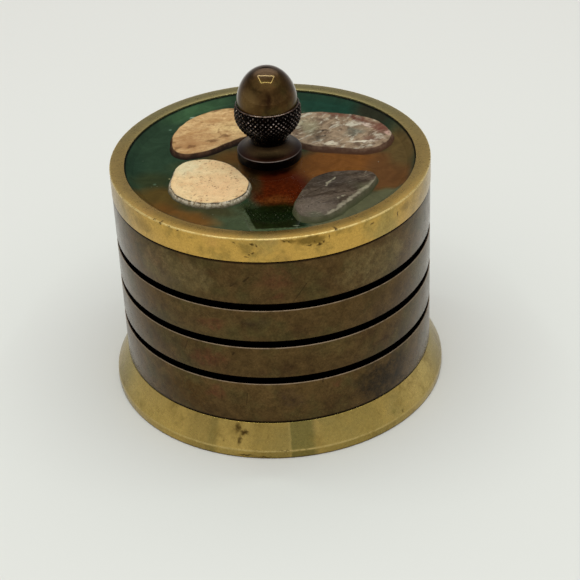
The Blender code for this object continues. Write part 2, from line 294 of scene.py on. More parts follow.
class FinishNodes(ShaderNodes):
    """One material's nodes.

    Places and sizes are in millimetres, read from the piece's own Object coordinates.
    """

    def __init__(self, name: str) -> None:
        """Start a material that has a Principled shader and a place in millimetres."""
        self.material = bpy.data.materials.new(name)
        self.material.use_nodes = True
        super().__init__(self.material.node_tree)
        self.shader = self.tree.nodes["Principled BSDF"]
        self.colour: Socket | Colour = (0.0, 0.0, 0.0)  # the finish's colour so far
        self.place = self.vector("SCALE", self.node("TexCoord", {}).outputs["Object"], scale=1 / MM)

    def mapped(self, turn: float, stretch: Place, at: Socket | None = None) -> Socket:
        """Return the place turned by degrees about +Z and then stretched."""
        turned = self.node("VectorRotate", {"Angle": math.radians(-turn), "Vector": at or self.place},
                           rotation_type="Z_AXIS")
        return self.node("Mapping", {"Vector": turned.outputs["Vector"], "Scale": stretch}).outputs["Vector"]

    def noise(self, size: float, detail: float = 3, rough: float = 0.5, twist: float = 0,
              at: Socket | None = None, seed: float = 0) -> Socket:
        """Return a cloudy pattern from 0 to 1.

        Args:
            size: How large its patches are, in millimetres.
            detail: How many finer layers it has.
            rough: How strong the finer layers are.
            twist: How far it is stirred.
            at: The place it is read at, if not the piece's own.
            seed: A number that gives another cloud.

        Returns:
            The pattern's socket.
        """
        inputs = {"Vector": at or self.place, "Scale": 1 / size, "Detail": detail, "Roughness": rough,
                  "Distortion": twist}
        if seed:
            inputs["W"] = seed
        return self.node("TexNoise", inputs, noise_dimensions="4D" if seed else "3D").outputs[0]

    def cells(self, size: float, at: Socket | None = None) -> Socket:
        """Return the distance to the nearest of many scattered points, as a share of their spacing."""
        return self.node("TexVoronoi", {"Vector": at or self.place, "Scale": 1 / size}).outputs["Distance"]

    def wobbled(self, size: float, reach: float) -> Socket:
        """Return the piece's place pushed about by a cloud, in millimetres."""
        cloud = self.node("TexNoise", {"Vector": self.place, "Scale": 1 / size, "Detail": 3}).outputs["Color"]
        centred = self.vector("SUBTRACT", cloud, (0.5, 0.5, 0.5))
        return self.vector("ADD", self.place, self.vector("SCALE", centred, scale=2 * reach))

    def near_point(self, at: Socket, centre: Place, reach: Place, turn: float = 0.0,
                   core: float = 0.55) -> Socket:
        """Return 1 inside an oval round a point, fading to 0 outside it.

        Args:
            at: The place that is tested.
            centre: The oval's middle, in millimetres.
            reach: Its half sizes along X, Y and Z.
            turn: How far it is turned about +Z, in degrees.
            core: The share of its reach that is full strength.

        Returns:
            The mask's socket.
        """
        away = self.vector("SUBTRACT", at, centre)
        sized = self.mapped(turn, (1 / reach[0], 1 / reach[1], 1 / reach[2]), away)
        return self.ramp(self.vector("LENGTH", sized), core, 1.0, 1.0, 0.0)

    def near_line(self, at: Socket, start: Place, end: Place, width: float) -> Socket:
        """Return 1 on the line between two points, fading to 0 at half the width from it."""
        way = Vector(end) - Vector(start)
        away = self.vector("SUBTRACT", at, start)
        along = self.vector("DOT_PRODUCT", away, tuple(way / way.length_squared))
        nearest = self.vector("SCALE", tuple(way), scale=self.maths("ADD", along, 0.0, clamp=True))
        gap = self.vector("LENGTH", self.vector("SUBTRACT", away, nearest))
        return self.ramp(gap, 0.0, width / 2, 1.0, 0.0)

    def radius(self) -> Socket:
        """Return the distance from the box's axis, in millimetres."""
        x, y, _ = self.split(self.place)
        return self.vector("LENGTH", self.joined(x, y, 0.0))

    def height(self) -> Socket:
        """Return the height above the table, in millimetres."""
        return self.split(self.place)[2]

    def near_edge(self, edge: Point, core: float, reach: float) -> Socket:
        """Return 1 along a turned edge, fading to 0 away from it.

        Args:
            edge: The edge's radius and height, in millimetres.
            core: How far from the edge the mask is full.
            reach: How far from it the mask ends.

        Returns:
            The mask's socket.
        """
        out = self.maths("SUBTRACT", self.radius(), edge[0])
        up = self.maths("SUBTRACT", self.height(), edge[1])
        return self.ramp(self.vector("LENGTH", self.joined(out, up, 0.0)), core, reach, 1.0, 0.0)

    def attribute(self, name: str) -> Socket:
        """Return a number that is stored on the piece's points."""
        return self.node("Attribute", {}, attribute_name=name).outputs["Fac"]

    def bump(self, height: Socket, depth: float, under: Socket | None = None) -> Socket:
        """Return a normal for a surface whose relief has this depth, in millimetres."""
        relief = {"Distance": depth * MM, "Height": height, "Normal": under}
        return self.node("Bump", relief).outputs["Normal"]

    def lathe_marks(self, under: Socket) -> Socket:
        """Return a normal with the fine rings that turning leaves, over another one."""
        return self.bump(self.noise(0.9, 2, at=self.mapped(0, (0.05, 0.05, 6.0))), 0.004, under)

    def cover(self, share: Value, tint: Socket | Colour) -> None:
        """Lay another colour over the finish's colour."""
        self.colour = self.blend(share, self.colour, tint)

    def shade(self, share: Value) -> None:
        """Make the finish's colour lighter or darker by a share."""
        self.colour = self.vector("SCALE", self.colour, scale=share)

    def patches(self, at: Socket, level: float, *pools: Pool) -> None:
        """Lay patches over the colour of a flat face at a level, in millimetres."""
        for pool in pools:
            oval = self.near_point(at, (*pool.centre, level), (*pool.reach, COLUMN), pool.turn, pool.core)
            self.cover(self.times(oval, pool.strength), pool.tint)

    def lines(self, at: Socket, level: float, tint: Colour, *rows: Line) -> None:
        """Lay fine lines over the colour of a flat face at a level, in millimetres."""
        for start, end, width, strength in rows:
            line = self.near_line(at, (*start, level), (*end, level), width)
            self.cover(self.times(line, strength), tint)

    def finish(self, rough: Socket, normal: Socket, metallic: float = 0.0) -> Material:
        """Link the finish to its shader and return the material."""
        surface = {"Base Color": self.colour, "Roughness": rough, "Normal": normal, "Metallic": metallic}
        for name, value in surface.items():
            self.feed(self.shader.inputs[name], value)
        return self.material


@dataclass(frozen=True)
class Stain:
    """A tarnished spot on a turned surface."""

    angle: float  # compass degrees from +X
    height: float  # millimetres above the table
    across: float  # half its width, in millimetres
    tall: float  # half its height
    strength: float = 0.8
    core: float = 0.2  # the share of its reach that is full strength
    tint: Colour = dye(104, 66, 44)
    inward: float = 2.5  # half its reach towards the axis, in millimetres

    def mask(self, nodes: FinishNodes, at: Socket, radius: float) -> Socket:
        """Return how strongly this stain covers a place on a surface of this radius, in millimetres."""
        turn = math.radians(self.angle)
        centre = (radius * math.cos(turn), radius * math.sin(turn), self.height)
        oval = nodes.near_point(at, centre, (self.inward, self.across, self.tall), self.angle, self.core)
        return nodes.times(oval, self.strength)


@dataclass(frozen=True)
class Smear:
    """A band across a turned surface between two compass directions, with a soft or crisp start and end:
    mostly tarnish, and on the foot's front one painted reflection.
    """

    start: float
    end: float
    start_soft: float
    end_soft: float
    strength: float
    tint: Colour = dye(112, 104, 56)

    def mask(self, nodes: FinishNodes, at: Socket) -> Socket:
        """Return how strongly this smear covers a place."""
        x, y, _ = nodes.split(at)
        bearing = nodes.times(nodes.maths("ARCTAN2", y, x), math.degrees(1.0))
        rise = nodes.ramp(bearing, self.start - self.start_soft, self.start + self.start_soft)
        fall = nodes.ramp(bearing, self.end - self.end_soft, self.end + self.end_soft, self.strength, 0.0)
        return nodes.times(rise, fall)


@dataclass(frozen=True)
class Wear:
    """Where one turned piece of brass is stained, specked, smeared, worn bright or lapped flat; some smears
    are painted reflection and the worn edges carry a painted highlight.
    """

    stains: tuple[Stain, ...] = ()
    specks: tuple[Stain, ...] = ()
    smears: tuple[Smear, ...] = ()
    # edges worn bright, partly wear and partly a painted highlight where they would catch the light
    rubbed_sheen_edges: tuple[Point, ...] = ()  # radius and height, in millimetres
    lapped_height: float | None = None  # the height of a flat face that is lapped bright


@dataclass(frozen=True)
class BrightBrass:
    """Yellow brass with a satin surface, stained in places, brighter in front and duller behind partly from
    hand wear and partly as painted reflection, with painted highlights on its worn edges and painted contact
    shade at a foot's bottom edge.
    """

    gold: Colour = dye(197, 158, 79)
    olive: Colour = dye(166, 142, 78)
    rosy: Colour = dye(194, 149, 84)
    dull: Colour = dye(160, 134, 78)
    grey: Colour = dye(146, 134, 88)
    tarnish: Colour = dye(134, 112, 56)
    stain: Colour = dye(106, 84, 34)
    speck: Colour = dye(70, 52, 22)
    # the colour of the worn edges: wear and a painted highlight
    rubbed_sheen: Colour = dye(226, 200, 132)
    # painted shading of a lapped top face, darker in front and brighter behind, standing in for its
    # reflection
    lapped_sheen: Point = (0.89, 1.5)  # how much brighter a lapped face is in front and behind
    contact_shade_height: float = 0.0  # below this height, in millimetres, painted contact shade darkens the brass

    def make(self, name: str, radius: float, wear: Wear) -> Material:
        """Return the finish of one piece.

        Args:
            name: The material's name.
            radius: The piece's outer radius, in millimetres.
            wear: Its marks.

        Returns:
            The material.
        """
        nodes = FinishNodes(name)
        olive = nodes.ramp(nodes.noise(13, 4, 0.6), 0.48, 0.68)
        rosy = nodes.ramp(nodes.noise(9, 3, seed=3), 0.55, 0.75, 0.0, 0.6)
        nodes.colour = nodes.blend(rosy, nodes.blend(olive, self.gold, self.olive), self.rosy)
        # Painted reflection, partly also hand wear: the brass turns duller and greyer from the front towards
        # the back.
        _, depth, _ = nodes.split(nodes.wobbled(12, 5))
        nodes.cover(nodes.ramp(depth, -33, -12), self.dull)
        nodes.cover(nodes.ramp(depth, -2, 28), self.grey)
        for smear in wear.smears:
            nodes.cover(smear.mask(nodes, nodes.wobbled(2.5, 0.5)), smear.tint)
        rough_skin: Value = 1.0  # what is left of the tarnish and dirt
        lapped: Value = 1.0
        if wear.lapped_height is not None:
            top = nodes.ramp(nodes.height(), wear.lapped_height - 0.1, wear.lapped_height - 0.04)
            face = nodes.times(top, nodes.ramp(nodes.radius(), radius - 0.36, radius - 0.3, 1.0, 0.0))
            # Painted shading: the lapped face is made darker in front and brighter behind.
            gain = nodes.maths("SUBTRACT", nodes.ramp(depth, -34, -16, self.lapped_sheen[0], self.lapped_sheen[1]), 1.0)
            lapped = nodes.maths("ADD", nodes.times(face, gain), 1.0)
            rough_skin = nodes.maths("SUBTRACT", 1.0, nodes.times(face, 0.8))
        tarnish = nodes.ramp(nodes.noise(4.2, 5, 0.58, twist=0.5, seed=11), 0.48, 0.68, 0.0, 0.55)
        nodes.cover(nodes.times(tarnish, rough_skin), self.tarnish)
        grain = nodes.noise(0.6, 4, 0.7)
        nodes.shade(nodes.ramp(grain, 0.3, 0.7, 0.88, 1.1))
        nodes.shade(lapped)
        worn = nodes.ramp(nodes.noise(0.9, 3, 0.6, seed=14), 0.34, 0.56, 0.25, 0.9)
        # Worn edges: wear, and a painted highlight where the edge would catch the light.
        for edge in wear.rubbed_sheen_edges:
            nodes.cover(nodes.times(nodes.near_edge(edge, 0.12, 0.36), worn), self.rubbed_sheen)
        soft = nodes.wobbled(1.6, 0.9)
        for stain in wear.stains:
            nodes.cover(stain.mask(nodes, soft, radius), self.stain)
        freckled = nodes.ramp(nodes.noise(7, 2, seed=7), 0.48, 0.6)
        freckles = nodes.ramp(nodes.noise(0.8, 2, 0.5, seed=5), 0.64, 0.7)
        dirt_and_shade = nodes.times(nodes.times(nodes.times(freckled, freckles), 0.16), rough_skin)
        ragged = nodes.wobbled(0.9, 0.8)
        for speck in wear.specks:
            dirt_and_shade = nodes.maths("MAXIMUM", dirt_and_shade, speck.mask(nodes, ragged, radius))
        # Painted contact shade: darker along the bottom edge, where the foot meets the table.
        if self.contact_shade_height:
            contact_shade = nodes.ramp(nodes.height(), 0.4 * self.contact_shade_height, self.contact_shade_height, 0.85, 0.0)
            dirt_and_shade = nodes.maths("MAXIMUM", dirt_and_shade, contact_shade)
        # The freckles, the specks and the painted contact shade all take the speck colour.
        nodes.cover(dirt_and_shade, self.speck)
        patchy = nodes.times(nodes.ramp(nodes.noise(2.2, 4, 0.7, seed=2), 0.3, 0.7, -0.06, 0.06), rough_skin)
        normal = nodes.lathe_marks(nodes.bump(nodes.times(grain, rough_skin), 0.006))
        return nodes.finish(nodes.maths("ADD", patchy, 0.28), normal, metallic=1.0)


@dataclass(frozen=True)
class Scratch:
    """A fine scratch on the body, between two places given as compass degrees and height."""

    start: Point
    end: Point
    width: float

    def mask(self, nodes: FinishNodes, radius: float) -> Socket:
        """Return the scratch's mask on a surface of this radius, in millimetres."""
        ends = []
        for angle, height in (self.start, self.end):
            turn = math.radians(angle)
            ends.append((radius * math.cos(turn), radius * math.sin(turn), height))
        return nodes.near_line(nodes.place, ends[0], ends[1], self.width)


@dataclass(frozen=True)
class DarkPatina:
    """Brass browned by age, with a black lacquer in its grooves and plain brass inside, and painted
    reflection, highlights and seam shade on its outside.
    """

    brown: Colour = dye(95, 74, 44)
    olive: Colour = dye(88, 75, 44)
    shadow: Colour = dye(70, 51, 32)
    # the colour of the groove edges: wear and a painted highlight
    rubbed_sheen: Colour = dye(150, 130, 108)
    lacquer: Colour = dye(14, 8, 8)
    # painted shade at the seams with the next piece
    seam_shade: Colour = dye(30, 18, 12)
    inside: Colour = dye(150, 120, 66)

    def make(self, name: str, outer: float, groove_floor: float, inner: float, scratches: Iterable[Scratch],
             patches: Iterable[Stain], edges: Iterable[float], seams: Iterable[float]) -> Material:
        """Return the finish for a tube.

        Args:
            name: The material's name.
            outer: The tube's outer radius, in millimetres.
            groove_floor: The radius at the bottom of its grooves.
            inner: Its inner radius.
            scratches: The scratches on its outside.
            patches: The reddish patina patches, and broad paler and darker patches of painted reflection.
            edges: The heights of the groove edges, worn lighter and given a painted highlight.
            seams: The heights of the ends, darkened with painted shade where they meet the next piece.

        Returns:
            The material.
        """
        nodes = FinishNodes(name)
        nodes.colour = nodes.blend(nodes.ramp(nodes.noise(10, 4, 0.6), 0.46, 0.66), self.brown, self.olive)
        nodes.cover(nodes.ramp(nodes.noise(6, 5, 0.65, seed=9), 0.5, 0.72, 0, 0.75), self.shadow)
        soft = nodes.wobbled(4, 3)
        broken = nodes.ramp(nodes.noise(1.5, 5, 0.7, seed=13), 0.34, 0.64, 0.35, 1.0)
        # Patina patches, and broad patches that paint the reflection lighter or darker.
        for patch in patches:
            nodes.cover(nodes.times(patch.mask(nodes, soft, outer), broken), patch.tint)
        height = nodes.height()
        nodes.shade(nodes.ramp(height, 8, 21, 0.84, 0.95))
        nodes.shade(nodes.ramp(height, 20.8, 21.8, 1.0, 0.84))
        clouds = nodes.noise(2.4, 5, 0.65, twist=0.6, seed=12)
        nodes.shade(nodes.ramp(clouds, 0.32, 0.68, 0.78, 1.2))
        grain = nodes.noise(0.5, 4, 0.7)
        nodes.shade(nodes.ramp(grain, 0.28, 0.72, 0.78, 1.2))
        for scratch in scratches:
            nodes.cover(nodes.times(scratch.mask(nodes, outer), 0.6), self.lacquer)
        worn = nodes.ramp(nodes.noise(1.6, 3, 0.6, seed=15), 0.3, 0.6, 0.35, 0.9)
        # The groove edges: partly wear, partly a painted highlight where they would catch the light.
        for edge in edges:
            line = nodes.near_edge((outer, edge), 0.1, 0.34)
            nodes.cover(nodes.times(line, worn), self.rubbed_sheen)
        # Painted shade along the seams with the foot and the lid.
        for seam in seams:
            dirt_and_shade = nodes.times(nodes.near_edge((outer, seam), 0.16, 0.5), 0.8)
            nodes.cover(dirt_and_shade, self.seam_shade)
        radius = nodes.radius()
        sunk = nodes.ramp(radius, outer - 0.3, outer - 0.12, 1.0, 0.0)
        deep = nodes.ramp(radius, groove_floor - 0.3, groove_floor - 0.2)
        nodes.cover(nodes.times(sunk, deep), self.lacquer)
        wall = nodes.ramp(radius, inner + 0.1, inner + 0.3, 1.0, 0.0)
        nodes.cover(wall, self.inside)
        rough = nodes.ramp(nodes.noise(3, 4, 0.7, seed=2), 0.3, 0.7, 0.2, 0.3)
        return nodes.finish(rough, nodes.lathe_marks(nodes.bump(grain, 0.005)), metallic=1.0)


@dataclass(frozen=True)
class AntiqueBrass:
    """Dark lacquered brass, black in the knurl's hollows and worn light on its points, with painted shade and
    reflection on the neck and the flange's side, and painted highlights and a painted dark reflection on the
    dome and the flange's edge.
    """

    brown: Colour = dye(74, 54, 29)
    olive: Colour = dye(68, 56, 29)
    umber: Colour = dye(46, 32, 18)
    # painted highlight, with some wear: the lighter top of the dome
    crown_sheen: Colour = dye(98, 78, 58)
    pale: Colour = dye(104, 82, 48)
    # painted reflection: the dark streak down the front of the dome
    streak: Colour = dye(44, 27, 15)
    flange: Colour = dye(54, 40, 24)
    flange_rim: Colour = dye(34, 17, 9)
    lip: Colour = dye(118, 98, 88)
    black: Colour = dye(10, 6, 5)
    worn: Colour = dye(206, 186, 174)
    # painted highlight along the flange's edge
    rim: Colour = dye(108, 96, 90)

    def make(self, name: str, rim_radius: float, flange_top: float, dome_bottom: float,
             dome_radius: float, tip: float) -> Material:
        """Return the finish for a knob.

        Args:
            name: The material's name.
            rim_radius: The radius of its flange, in millimetres.
            flange_top: The height of the top of its flange's rim.
            dome_bottom: The height at which its dome starts.
            dome_radius: The dome's largest radius.
            tip: The height of its tip.

        Returns:
            The material.
        """
        nodes = FinishNodes(name)
        nodes.colour = nodes.blend(nodes.ramp(nodes.noise(6, 4, 0.6), 0.45, 0.65), self.brown, self.olive)
        streaks = nodes.noise(2.2, 5, 0.65, at=nodes.mapped(0, (1, 1, 0.5)))
        nodes.cover(nodes.ramp(streaks, 0.5, 0.7, 0, 0.75), self.umber)
        blotches = nodes.noise(1.2, 4, 0.6, seed=16)
        nodes.shade(nodes.ramp(blotches, 0.34, 0.66, 0.82, 1.16))
        soft = nodes.wobbled(1.4, 0.9)
        for mark in (
            Stain(-132, dome_bottom + 3.6, 4.0, 3.8, 0.9, 0.3, tint=self.pale),
            # Painted reflection: a dark streak down the front of the dome.
            Stain(-88, dome_bottom + 3.6, 1.0, 3.6, 0.95, 0.1, tint=self.streak),
        ):
            nodes.cover(mark.mask(nodes, soft, dome_radius - 0.7), mark.tint)
        height = nodes.height()
        # Painted highlight, with some wear: the dome is lighter at its top.
        nodes.cover(nodes.ramp(height, tip - 1.5, tip - 0.3), self.crown_sheen)
        low = nodes.ramp(height, flange_top + 1.7, flange_top + 2.1, 1.0, 0.0)
        rimward = nodes.ramp(nodes.radius(), rim_radius - 2.2, rim_radius - 0.6)
        nodes.cover(low, nodes.blend(rimward, self.flange, self.flange_rim))
        # Black in the knurl's hollows, and painted shade and reflection on the neck under the cup.
        under = nodes.ramp(height, dome_bottom - 0.08, dome_bottom, 1.0, 0.0)
        cup = nodes.times(under, nodes.ramp(height, flange_top + 1.3, flange_top + 2.3))
        patchy = nodes.ramp(nodes.noise(0.7, 4, 0.65, seed=6), 0.42, 0.62, 0.05, 1.0)
        uneven = nodes.ramp(nodes.noise(1.8, 3, 0.6, seed=19), 0.4, 0.57, 0.2, 1.05)
        patchy = nodes.times(patchy, uneven)
        high = nodes.ramp(height, dome_bottom - 7.0, dome_bottom - 2.0, 0.05, 1.1)
        bright = nodes.times(patchy, high)
        points = nodes.times(nodes.ramp(nodes.attribute(AcornKnob.RELIEF), 0.55, 0.9), bright)
        knurl = nodes.blend(points, self.black, self.worn)
        lip = nodes.ramp(height, dome_bottom - 0.5, dome_bottom - 0.25, 0.0, 0.9)
        lip = nodes.times(lip, nodes.ramp(blotches, 0.34, 0.6, 0.4, 1.0))
        nodes.cover(cup, nodes.blend(lip, knurl, self.lip))
        # Painted reflection: the flange's side is made black.
        side = nodes.ramp(height, flange_top - 0.34, flange_top - 0.24, 0.95, 0.0)
        nodes.cover(side, self.black)
        # Painted highlight: a faint light line along the flange's edge.
        rim = nodes.times(nodes.near_edge((rim_radius, flange_top - 0.12), 0.06, 0.2), 0.75)
        nodes.cover(rim, self.rim)
        grain = nodes.noise(0.35, 3, 0.6)
        nodes.shade(nodes.ramp(grain, 0.3, 0.7, 0.86, 1.12))
        rough = nodes.ramp(nodes.noise(1.8, 3, seed=2), 0.3, 0.7, 0.05, 0.11)
        rough = nodes.maths("ADD", rough, nodes.times(cup, 0.2))
        rough = nodes.maths("ADD", rough, nodes.times(low, 0.3))
        normal = nodes.bump(grain, 0.0015)
        return nodes.finish(rough, normal, metallic=1.0)


@dataclass(frozen=True)
class PlainBrass:
    """Machined brass of the fastenings inside the lid."""

    metal: Colour = dye(176, 150, 96)
    dull: Colour = dye(140, 118, 74)

    def make(self, name: str) -> Material:
        """Return the finish."""
        nodes = FinishNodes(name)
        nodes.colour = nodes.blend(nodes.ramp(nodes.noise(2.5, 4, 0.6), 0.42, 0.66), self.metal, self.dull)
        rough = nodes.ramp(nodes.noise(0.8, 3), 0.3, 0.7, 0.28, 0.42)
        rings = nodes.noise(0.25, 1, at=nodes.joined(nodes.radius(), 0.0, 0.0))
        return nodes.finish(rough, nodes.bump(rings, 0.006), metallic=1.0)


@dataclass(frozen=True)
class FeltCloth:
    """Dark green wool felt."""

    green: Colour = dye(34, 66, 44)
    pale: Colour = dye(60, 92, 66)

    def make(self, name: str) -> Material:
        """Return the finish."""
        nodes = FinishNodes(name)
        fibres = nodes.noise(0.35, 6, 0.75, twist=1.2)
        nodes.colour = nodes.blend(nodes.ramp(fibres, 0.4, 0.75), self.green, self.pale)
        rough = nodes.ramp(fibres, 0.3, 0.7, 0.88, 1.0)
        nodes.shader.inputs["Sheen Weight"].default_value = 0.35
        nodes.shader.inputs["Sheen Roughness"].default_value = 0.5
        return nodes.finish(rough, nodes.bump(fibres, 0.15))


@dataclass(frozen=True)
class PouredResin:
    """Tinted resin poured in several colours that run into each other."""

    teal: Colour = dye(40, 58, 41)
    pools: tuple[Pool, ...] = (
        Pool(dye(26, 46, 34), (-35, -2), (6, 20), core=0.1, strength=0.5),
        Pool(dye(60, 88, 58), (-19, 29), (15, 4.6), turn=34, core=0.1),
        Pool(dye(27, 57, 44), (16, 27.5), (16, 7), turn=-30, core=0.3),
        Pool(dye(42, 42, 29), (28, 22), (10, 6), turn=-50, core=0.3),
        Pool(dye(58, 60, 34), (-19, -0.5), (8, 5), core=0.1),
        Pool(dye(94, 64, 28), (-8, 3), (11, 8), core=0.2),
        Pool(dye(86, 54, 20), (-5, -5), (7, 8), core=0.2),
        Pool(dye(47, 52, 29), (-29, -7), (8, 7), core=0.3, strength=0.9),
        Pool(dye(77, 60, 26), (-28, -17), (9, 9), core=0.5),
        Pool(dye(108, 66, 28), (17, -4), (18, 11), turn=-4, core=0.55),
        Pool(dye(90, 58, 30), (29, -10), (8, 16), core=0.5),
        Pool(dye(84, 66, 36), (33, 4), (6, 14), core=0.4),
        Pool(dye(72, 66, 34), (28, -21), (6, 6), turn=40, core=0.3),
        Pool(dye(84, 82, 58), (21, -28), (19, 7.6), turn=36, core=0.8),
        Pool(dye(60, 68, 46), (-9, -28), (16, 9), turn=-12, core=0.7),
        Pool(dye(60, 72, 48), (1, -34.4), (11, 3.2), turn=2, core=0.7),
        Pool(dye(68, 23, 6), (2.2, -14), (9.5, 13), core=0.6),
        Pool(dye(84, 44, 16), (0.6, -19.6), (7, 3.6), core=0.1, strength=0.8),
        Pool(dye(50, 34, 16), (-4.6, -9), (2.6, 10), turn=10, core=0.3),
        Pool(dye(44, 46, 22), (-6.5, -21), (3, 3), core=0.1, strength=0.7),
        Pool(dye(60, 56, 32), (-17, -22.6), (12, 4.4), turn=-14, core=0.4, strength=0.9),
        Pool(dye(98, 62, 24), (-25, -21.8), (9, 3.6), turn=-42, core=0.1, strength=0.85),
        Pool(dye(108, 70, 28), (-18.4, -26.4), (9.4, 3.6), turn=-32, core=0.1, strength=0.95),
    )
    # partly the resin's dark green and partly a painted reflection of the knob
    mirrored: Colour = dye(9, 19, 2)
    mirrored_corners: tuple[Point, Point] = ((-7.0, -21.6), (-4.3, -32.0))  # the crisp left edge of its image
    flecks: tuple[Fleck, ...] = (
        Fleck(dye(150, 170, 150), (-19.8, 25.9), (0.9, 0.4), turn=20),
        Fleck(dye(96, 120, 100), (-25.4, 19.6), (0.5, 0.4)),
        Fleck(dye(80, 96, 74), (-28.6, -8.6), (0.5, 0.5)),
        Fleck(dye(150, 144, 104), (-25.0, -6.2), (0.3, 0.4)),
        Fleck(dye(110, 80, 50), (10.4, -8), (0.3, 0.3)),
        Fleck(dye(110, 116, 88), (5.4, -31.6), (1.1, 0.22), turn=-8),
    )
    hair: Line = ((24.6, -5.6), (23.3, -9.8), 0.45, 0.5)
    dust: Colour = dye(84, 84, 60)

    def make(self, name: str, outer: float, stone_top: float) -> Material:
        """Return the finish of the bed under the clear surface.

        Args:
            name: The material's name.
            outer: The bed's outer radius, in millimetres.
            stone_top: The height of the polished surface.

        Returns:
            The material.
        """
        nodes = FinishNodes(name)
        poured = nodes.wobbled(7, 2.2)
        nodes.colour = self.teal
        nodes.patches(poured, stone_top, *self.pools)
        # The dark green patch in front: partly the resin's own tint, partly a painted reflection of the knob.
        nodes.cover(self.mirrored_patch(nodes), self.mirrored)
        smoke = nodes.noise(5, 5, 0.65, twist=1.5)
        nodes.shade(nodes.ramp(smoke, 0.3, 0.72, 0.82, 1.2))
        mottled = nodes.ramp(nodes.noise(0.8, 4, 0.7, seed=17), 0.32, 0.68, 0.55, 1.5)
        front = nodes.near_point(nodes.place, (1, -23, stone_top), (11, 15, COLUMN), core=0.6)
        mottled = nodes.maths("ADD", nodes.times(nodes.maths("SUBTRACT", mottled, 1.0), front), 1.0)
        nodes.shade(mottled)
        nodes.shade(nodes.ramp(nodes.radius(), outer - 0.5, outer - 0.2, 1.0, 0.12))
        nodes.patches(nodes.place, stone_top, *self.flecks)
        nodes.lines(nodes.wobbled(2, 0.4), stone_top, self.flecks[0].tint, self.hair)
        specks = nodes.times(nodes.ramp(nodes.cells(1.3), 0.06, 0.12, 1.0, 0.0),
                             nodes.ramp(nodes.noise(6, 2, seed=8), 0.5, 0.66, 0.0, 0.3))
        nodes.cover(specks, self.dust)
        rough = nodes.ramp(smoke, 0.3, 0.7, 0.45, 0.6)
        nodes.shader.inputs["Specular IOR Level"].default_value = 0.0
        return nodes.finish(rough, nodes.bump(smoke, 0.04))

    def mirrored_patch(self, nodes: FinishNodes) -> Socket:
        """Return the mask of the dark green patch in front, partly a painted reflection of the knob, crisp on
        its left and ragged elsewhere.
        """
        corner, foot = (Vector(point) for point in self.mirrored_corners)
        across = Vector((corner.y - foot.y, foot.x - corner.x)).normalized()
        x, y, _ = nodes.split(nodes.wobbled(2, 0.25))
        gap = nodes.maths("ADD", nodes.times(x, across.x), nodes.times(y, across.y))
        mask = nodes.ramp(nodes.maths("SUBTRACT", gap, corner.dot(across)), -0.2, 0.3)
        mask = nodes.times(mask, nodes.ramp(y, foot.y - 0.4, foot.y))
        x, y, _ = nodes.split(nodes.wobbled(3.5, 2.2))
        mask = nodes.times(mask, nodes.ramp(x, 7.0, 9.0, 1.0, 0.0))
        return nodes.times(mask, nodes.ramp(y, -23.0, -19.4, 0.94, 0.0))


@dataclass(frozen=True)
class TrappedAir:
    """Small bubbles in the resin, seen as greyish beads."""

    grey: Colour = dye(96, 104, 84)
    pale: Colour = dye(130, 126, 104)

    def make(self, name: str) -> Material:
        """Return the finish."""
        nodes = FinishNodes(name)
        cloud = nodes.noise(2, 2)
        nodes.colour = nodes.blend(nodes.ramp(cloud, 0.4, 0.6), self.grey, self.pale)
        return nodes.finish(nodes.ramp(cloud, 0.3, 0.7, 0.1, 0.25), nodes.bump(cloud, 0.005))


@dataclass(frozen=True)
class ClearSurface:
    """The resin's polished clear surface, which mirrors what stands on the lid."""

    bend: float = 1.5
    rough_low: float = 0.0
    rough_high: float = 0.025

    def make(self, name: str) -> Material:
        """Return a finish that mirrors at a slant and otherwise lets light through."""
        nodes = FinishNodes(name)
        nodes.tree.nodes.remove(nodes.shader)
        slant = nodes.node("Fresnel", {"IOR": self.bend}).outputs["Fac"]
        outside = nodes.maths("SUBTRACT", 1.0, nodes.node("NewGeometry", {}).outputs["Backfacing"])
        haze = nodes.ramp(nodes.noise(6, 4, 0.6), 0.35, 0.7, self.rough_low, self.rough_high)
        waves = nodes.bump(nodes.noise(9, 2), 0.004)
        mirror = nodes.node("BsdfGlossy", {"Roughness": haze, "Normal": waves}).outputs["BSDF"]
        clear = nodes.node("BsdfTransparent", {}).outputs["BSDF"]
        mix = nodes.node("MixShader", {0: nodes.times(slant, outside), 1: clear, 2: mirror}).outputs["Shader"]
        nodes.feed(nodes.tree.nodes["Material Output"].inputs["Surface"], mix)
        return nodes.material


class StoneKind(Enum):
    """The four stones in the lid, by the node that each one replaces."""

    CREAM = "stone_cream"
    TAN = "stone_tan"
    MARBLED = "stone_marbled"
    SLATE = "stone_slate"


